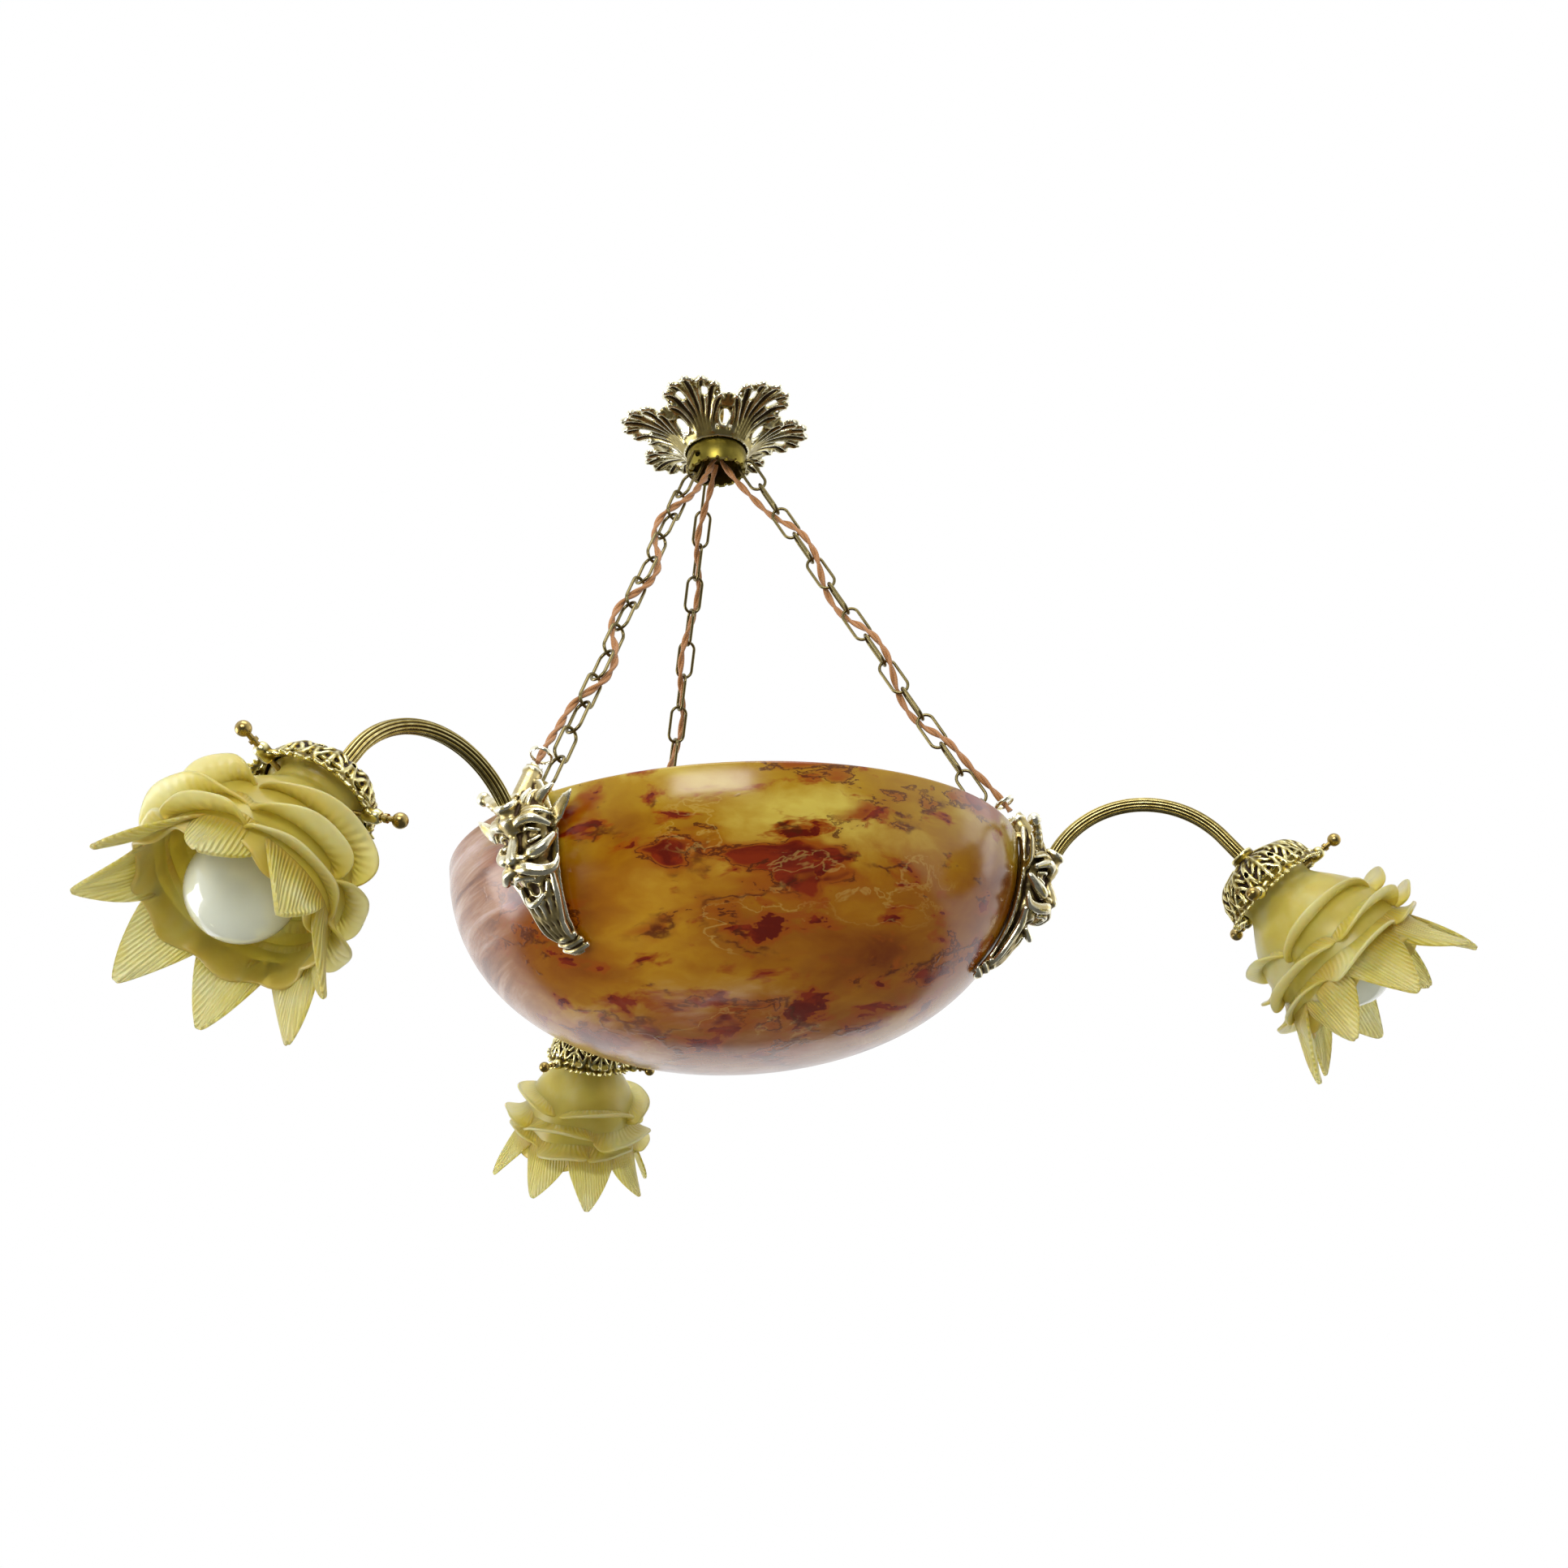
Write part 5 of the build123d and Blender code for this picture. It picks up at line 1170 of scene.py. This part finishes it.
# %% Moustache, mouth and beard
def satyr_beard():
    shapes = []
    for lift, size in ((0, 1.0), (2.2, 0.8)):
        shapes += both_sides([(1.2, 50.0 - lift, 23.5), (6.5, 51.5 - lift, 23.0), (12.5, 54.5 - lift, 18.5),
                              (17.0, 54.0 - lift, 13.0), (19.5, 48.5 - lift, 10.5)],
                             [2.2 * size, 3.4 * size, 3.0 * size, 2.3 * size, 1.3 * size])
    upper_lip = [(-6.5, 57.2, 18.5), (-3, 55.0, 21.5), (0, 54.6, 22.6), (3, 55.0, 21.5), (6.5, 57.2, 18.5)]
    lower_lip = [(-6.2, 66.5, 14.5), (-3, 69.2, 17.5), (0, 70.0, 18.5), (3, 69.2, 17.5), (6.2, 66.5, 14.5)]
    shapes.append(carve_stroke(upper_lip, [1.5, 2.0, 2.1, 2.0, 1.5]))
    shapes.append(carve_stroke(lower_lip, [1.6, 2.1, 2.3, 2.1, 1.6]))
    for number, across in enumerate((-13.5, -10.0, -6.6, -3.3, 0.0, 3.3, 6.6, 10.0, 13.5)):
        start = 56 + 15 * cos(across / 13.5 * pi / 2) * (1 if abs(across) < 8 else 0.75)
        bend = 1.3 * (-1) ** number
        shapes.append(carve_stroke([(across, start, 12.5 - 0.14 * abs(across)),
                                    (across * 0.86 + bend, 0.55 * start + 36, 11.5 - 0.1 * abs(across)),
                                    (across * 0.60 - bend, 85, 8.6), (across * 0.42, 93, 6.0)],
                                   [1.9, 2.3, 1.9, 1.5], [2.3, 2.6, 2.2, 1.8], samples=26))
    for depth, width, off in ((91.5, 8.0, 6.2), (95.2, 9.2, 4.8), (99.0, 9.8, 3.4)):
        shapes.append(carve_stroke([(-width, depth, off - 1.5), (0, depth + 0.8, off + 0.8), (width, depth, off - 1.5)],
                                   [1.9, 2.4, 1.9]))
    return shapes


# %% Ears, horns and the tuft above the brow
def satyr_crest():
    shapes = []
    for sign in (-1, 1):
        ear = [on_bowl(sign * 16.5, 27, 6), on_bowl(sign * 23, 21.5, 10), on_bowl(sign * 29.5, 14.5, 11.5),
               on_bowl(sign * 33.5, 9.5, 12.0)]
        shapes.append(stroke(ear, [3.6, 5.6, 3.6, 0.9], [2.2, 1.8, 1.3, 0.8], up=(1, sign * 0.4, 0)))
        shapes.append(stroke([p + [1.2, 0, 2.6] for p in ear[:3]], [1.3, 1.5, 0.9], up=(1, 0, 0)))
    for across, top, lean, size in ((0, -1.0, 0, 2.6), (4.6, 0.5, 2.5, 2.3), (-4.6, 0.5, -2.5, 2.3),
                                    (9.2, 4.0, 5.0, 2.1), (-9.2, 4.0, -5.0, 2.1)):
        shapes.append(carve_stroke([(across * 0.7, 22, 15.5), (across, 13, 16.5), (across + lean * 0.4, 6, 14.5),
                                    (across + lean, top, 11.0)], [size * 0.8, size, size * 0.9, size * 0.5]))
    shapes.append(carve_stroke([(-9.5, 15, 11), (-14, 8, 13), (-19.5, 1.5, 14), (-24.5, -2.5, 14)],
                               [4.6, 4.0, 3.2, 2.8]))
    shapes.append(ball(on_bowl(-26.6, -3.6, 13.6), (4.8, 4.8, 4.8)))
    for share in (0.3, 0.5, 0.7):
        middle = on_bowl(-9.5 - 15 * share, 15 - 17.5 * share, 11.5 + 3 * share)
        shapes.append(ball(middle, (4.6 - share, 4.6 - share, 2.4)))
    shapes.append(carve_stroke([(9.5, 15, 10), (14.5, 9, 12), (19.5, 4.5, 12), (22.0, 2.0, 11)],
                               [4.4, 3.8, 2.6, 1.2]))
    return shapes


# %% Trumpet, boss and the hook over the rim
def along_axis(section, foot, way):
    """A turned outline set up on an axis from foot."""
    turn_to = Vector((0, 0, 1)).rotation_difference(way).to_matrix().to_4x4()
    return rolled(turned(section, 40), Matrix.Translation(foot) @ turn_to)


trumpet_mouth = HOOK_POINT - CHAIN_IN * 13.0 - CHAIN_DOWN * 19.0
trumpet = along_axis([(4.9, 20.0), (6.6, 0.0), (7.9, 0.0), (7.9, 1.6), (6.5, 3.6), (5.8, 8.0), (5.9, 16.0),
                      (6.9, 18.0), (5.9, 20.0), (6.0, 43.0), (4.9, 43.0)], trumpet_mouth, CHAIN_DOWN)
boss = along_axis([(4.3, 0.0), (6.4, 0.0), (7.7, 1.4), (7.7, 3.4), (6.4, 4.6), (6.6, 8.0), (8.2, 10.0),
                   (8.2, 12.5), (7.4, 20.0), (4.3, 20.0)], ARM_ROOT, ROOT_WAY)
LEG_INSIDE, LEG_OUTSIDE = 184.5, 187.5
hook_hole = HOOK_POINT + CHAIN_DOWN * (3.2 - 1.15 - 0.4)
hook_iron = [slab((LEG_INSIDE, -8, 0.35), (BOWL_RADIUS + 6, 8, 4.2)),
             slab((LEG_INSIDE, -8, -27), (LEG_OUTSIDE, 8, 1.3)),
             slab((hook_hole.x - 5.4, -1.5, 1.3), (hook_hole.x + 5.4, 1.5, hook_hole.z)),
             rolled(turned([(3.25, -1.5), (5.8, -1.5), (5.8, 1.5), (3.25, 1.5)], 32),
                    Matrix.Translation(hook_hole) @ Matrix.Rotation(pi / 2, 4, "X"))]


# %% Fusing a mask
def clear_of_bowl(mesh, gap=0.35):
    """Points that fell inside the stone are brought out to its skin."""
    points = mesh_points(mesh)
    across = np.hypot(points[:, 0], points[:, 1])
    skin = bowl_radius_at(-points[:, 2], gap)
    sunk = (points[:, 2] < 0.4) & (across < skin)
    points[sunk, :2] *= (skin / across)[sunk, None]
    mesh.vertices.foreach_set("co", points.reshape(-1))
    mesh.update()
    return mesh


mouth_hollow = [ball(on_bowl(0, 62.2, 18), (8.0, 6.4, 5.2))]
bores = [stroke([trumpet_mouth - CHAIN_DOWN * 4, trumpet_mouth + CHAIN_DOWN * 36], [4.7, 4.7], up=(0, 1, 0)),
         stroke([ARM_ROOT - ROOT_WAY * 6, ARM_ROOT + ROOT_WAY * 10], [4.4, 4.4], up=(0, 1, 0))]
ear_hollows = [stroke([on_bowl(sign * 21, 23.5, 13.5), on_bowl(sign * 28, 16.5, 14.5)], [1.9, 1.0], up=(1, 0, 0))
               for sign in (-1, 1)]
head_mesh = fuse("satyr_mask", satyr_head() + satyr_beard() + satyr_crest() + [trumpet, boss], FINE_VOXEL,
                 mouth_hollow + bores + ear_hollows)
head_mesh = store_wear_and_shading(clear_of_bowl(head_mesh), 16, 1.5)
iron_mesh = one_mesh("hook_iron", hook_iron)
add_value(iron_mesh, "wear_and_shading", np.full(len(iron_mesh.vertices), 0.55))
iron_piece = new_object("hook_iron", iron_mesh)
iron_bevel = iron_piece.modifiers.new("soft_edges", "BEVEL")
iron_bevel.width, iron_bevel.segments = 0.4, 2
mask_mesh = joined([head_mesh, evaluated_mesh(iron_piece, "hook_iron")], "satyr_mask")
place_three("satyr_mask", mask_mesh, arm_matrix, mask_brass, "mask_bracket")

# %% [markdown]
# ## The arms
# Each arm is a tube drawn with twelve reeds. Its path is the arch of the solid and the short straight run to the
# cup. A stored number, low in each groove and high on each reed, paints the grooves dark with tarnish and
# painted shade, and the reeds pale with a painted highlight.

# %% Reeded arms
ARM_REEDS, ARM_RADIUS, REED_DEPTH, SPIGOT_RADIUS = 12, 5.0, 1.0, 3.95


def reeded_arm():
    start, end = radians(90 + ARCH_HALF), radians(90 - ARCH_HALF)
    arch = [Vector((ARCH_CENTRE + ARCH_RADIUS * cos(t), 0, ARCH_RADIUS * sin(t) - ARCH_DROP))
            for t in np.linspace(start, end, 90)]
    line = arch + [arch[-1] + SHADE_WAY * step for step in np.linspace(1.5, 17.0, 12)]
    line = np.array([tuple(point) for point in line])
    way = np.gradient(line, axis=0)
    way /= np.linalg.norm(way, axis=1, keepdims=True)
    side = np.array([0.0, 1.0, 0.0])
    turns = np.linspace(0, 2 * pi, ARM_REEDS * 8, endpoint=False)
    reed = np.abs(np.cos(turns * ARM_REEDS / 2)) ** 0.7
    radius = ARM_RADIUS - REED_DEPTH * (1 - reed)
    rows = (line[:, None, :] + radius[None, :, None] * (
        np.cos(turns)[None, :, None] * side + np.sin(turns)[None, :, None] * np.cross(way, side)[:, None, :]))
    mesh = mesh_from("reeded_arm", rows.reshape(-1, 3), grid_faces(len(line), len(turns), closed=True))
    # low in the grooves for tarnish and painted shade, high on the reeds for a painted highlight
    add_value(mesh, "wear_and_shading", np.tile(0.10 + 0.62 * reed, len(line)))
    spigots = [stroke([line[end] + way[end] * start, line[end] + way[end] * stop], [SPIGOT_RADIUS] * 2,
                      up=(0, 1, 0), sides=24) for end, start, stop in ((0, -10.5, 0.5), (-1, -0.5, 14.5))]
    spigot_mesh = one_mesh("spigots", spigots)
    add_value(spigot_mesh, "wear_and_shading", np.full(len(spigot_mesh.vertices), 0.5))
    return joined([mesh, spigot_mesh], "reeded_arm")


place_three("reeded_arm", reeded_arm(), arm_matrix, reeded_brass, "arm")

# %% [markdown]
# ## Kept solids
# The chains, the collar, the thumbscrews, the lampholders and the fixings are right as they were modelled, so
# they stay, and each only takes its finish.

# %% Finishes on the kept solids
FINISHES = {
    "chain_": chain_brass, "crown_collar": collar_brass, "hanging_eye": turned_brass, "eye_nut": turned_brass,
    "terminal_block": porcelain.material, "thumbscrew_": turned_brass, "lampholder_": turned_brass,
    "bulb_": opal.material, "bowl_bulb": opal.material, "bowl_lamp": turned_brass, "bracket_screws": turned_brass,
    "bracket_washers": turned_brass, "felt_washers": felt.material, "gallery_locknuts": turned_brass,
    "arm_": turned_brass, "mask_bracket_": turned_brass, "gallery_": turned_brass, "ceiling_crown": turned_brass,
}
for node_name, solid in nodes.items():
    for start, material in FINISHES.items():
        if node_name.startswith(start):
            solid.data.materials.clear()
            solid.data.materials.append(material)
            break
    else:
        print("no finish for", node_name)
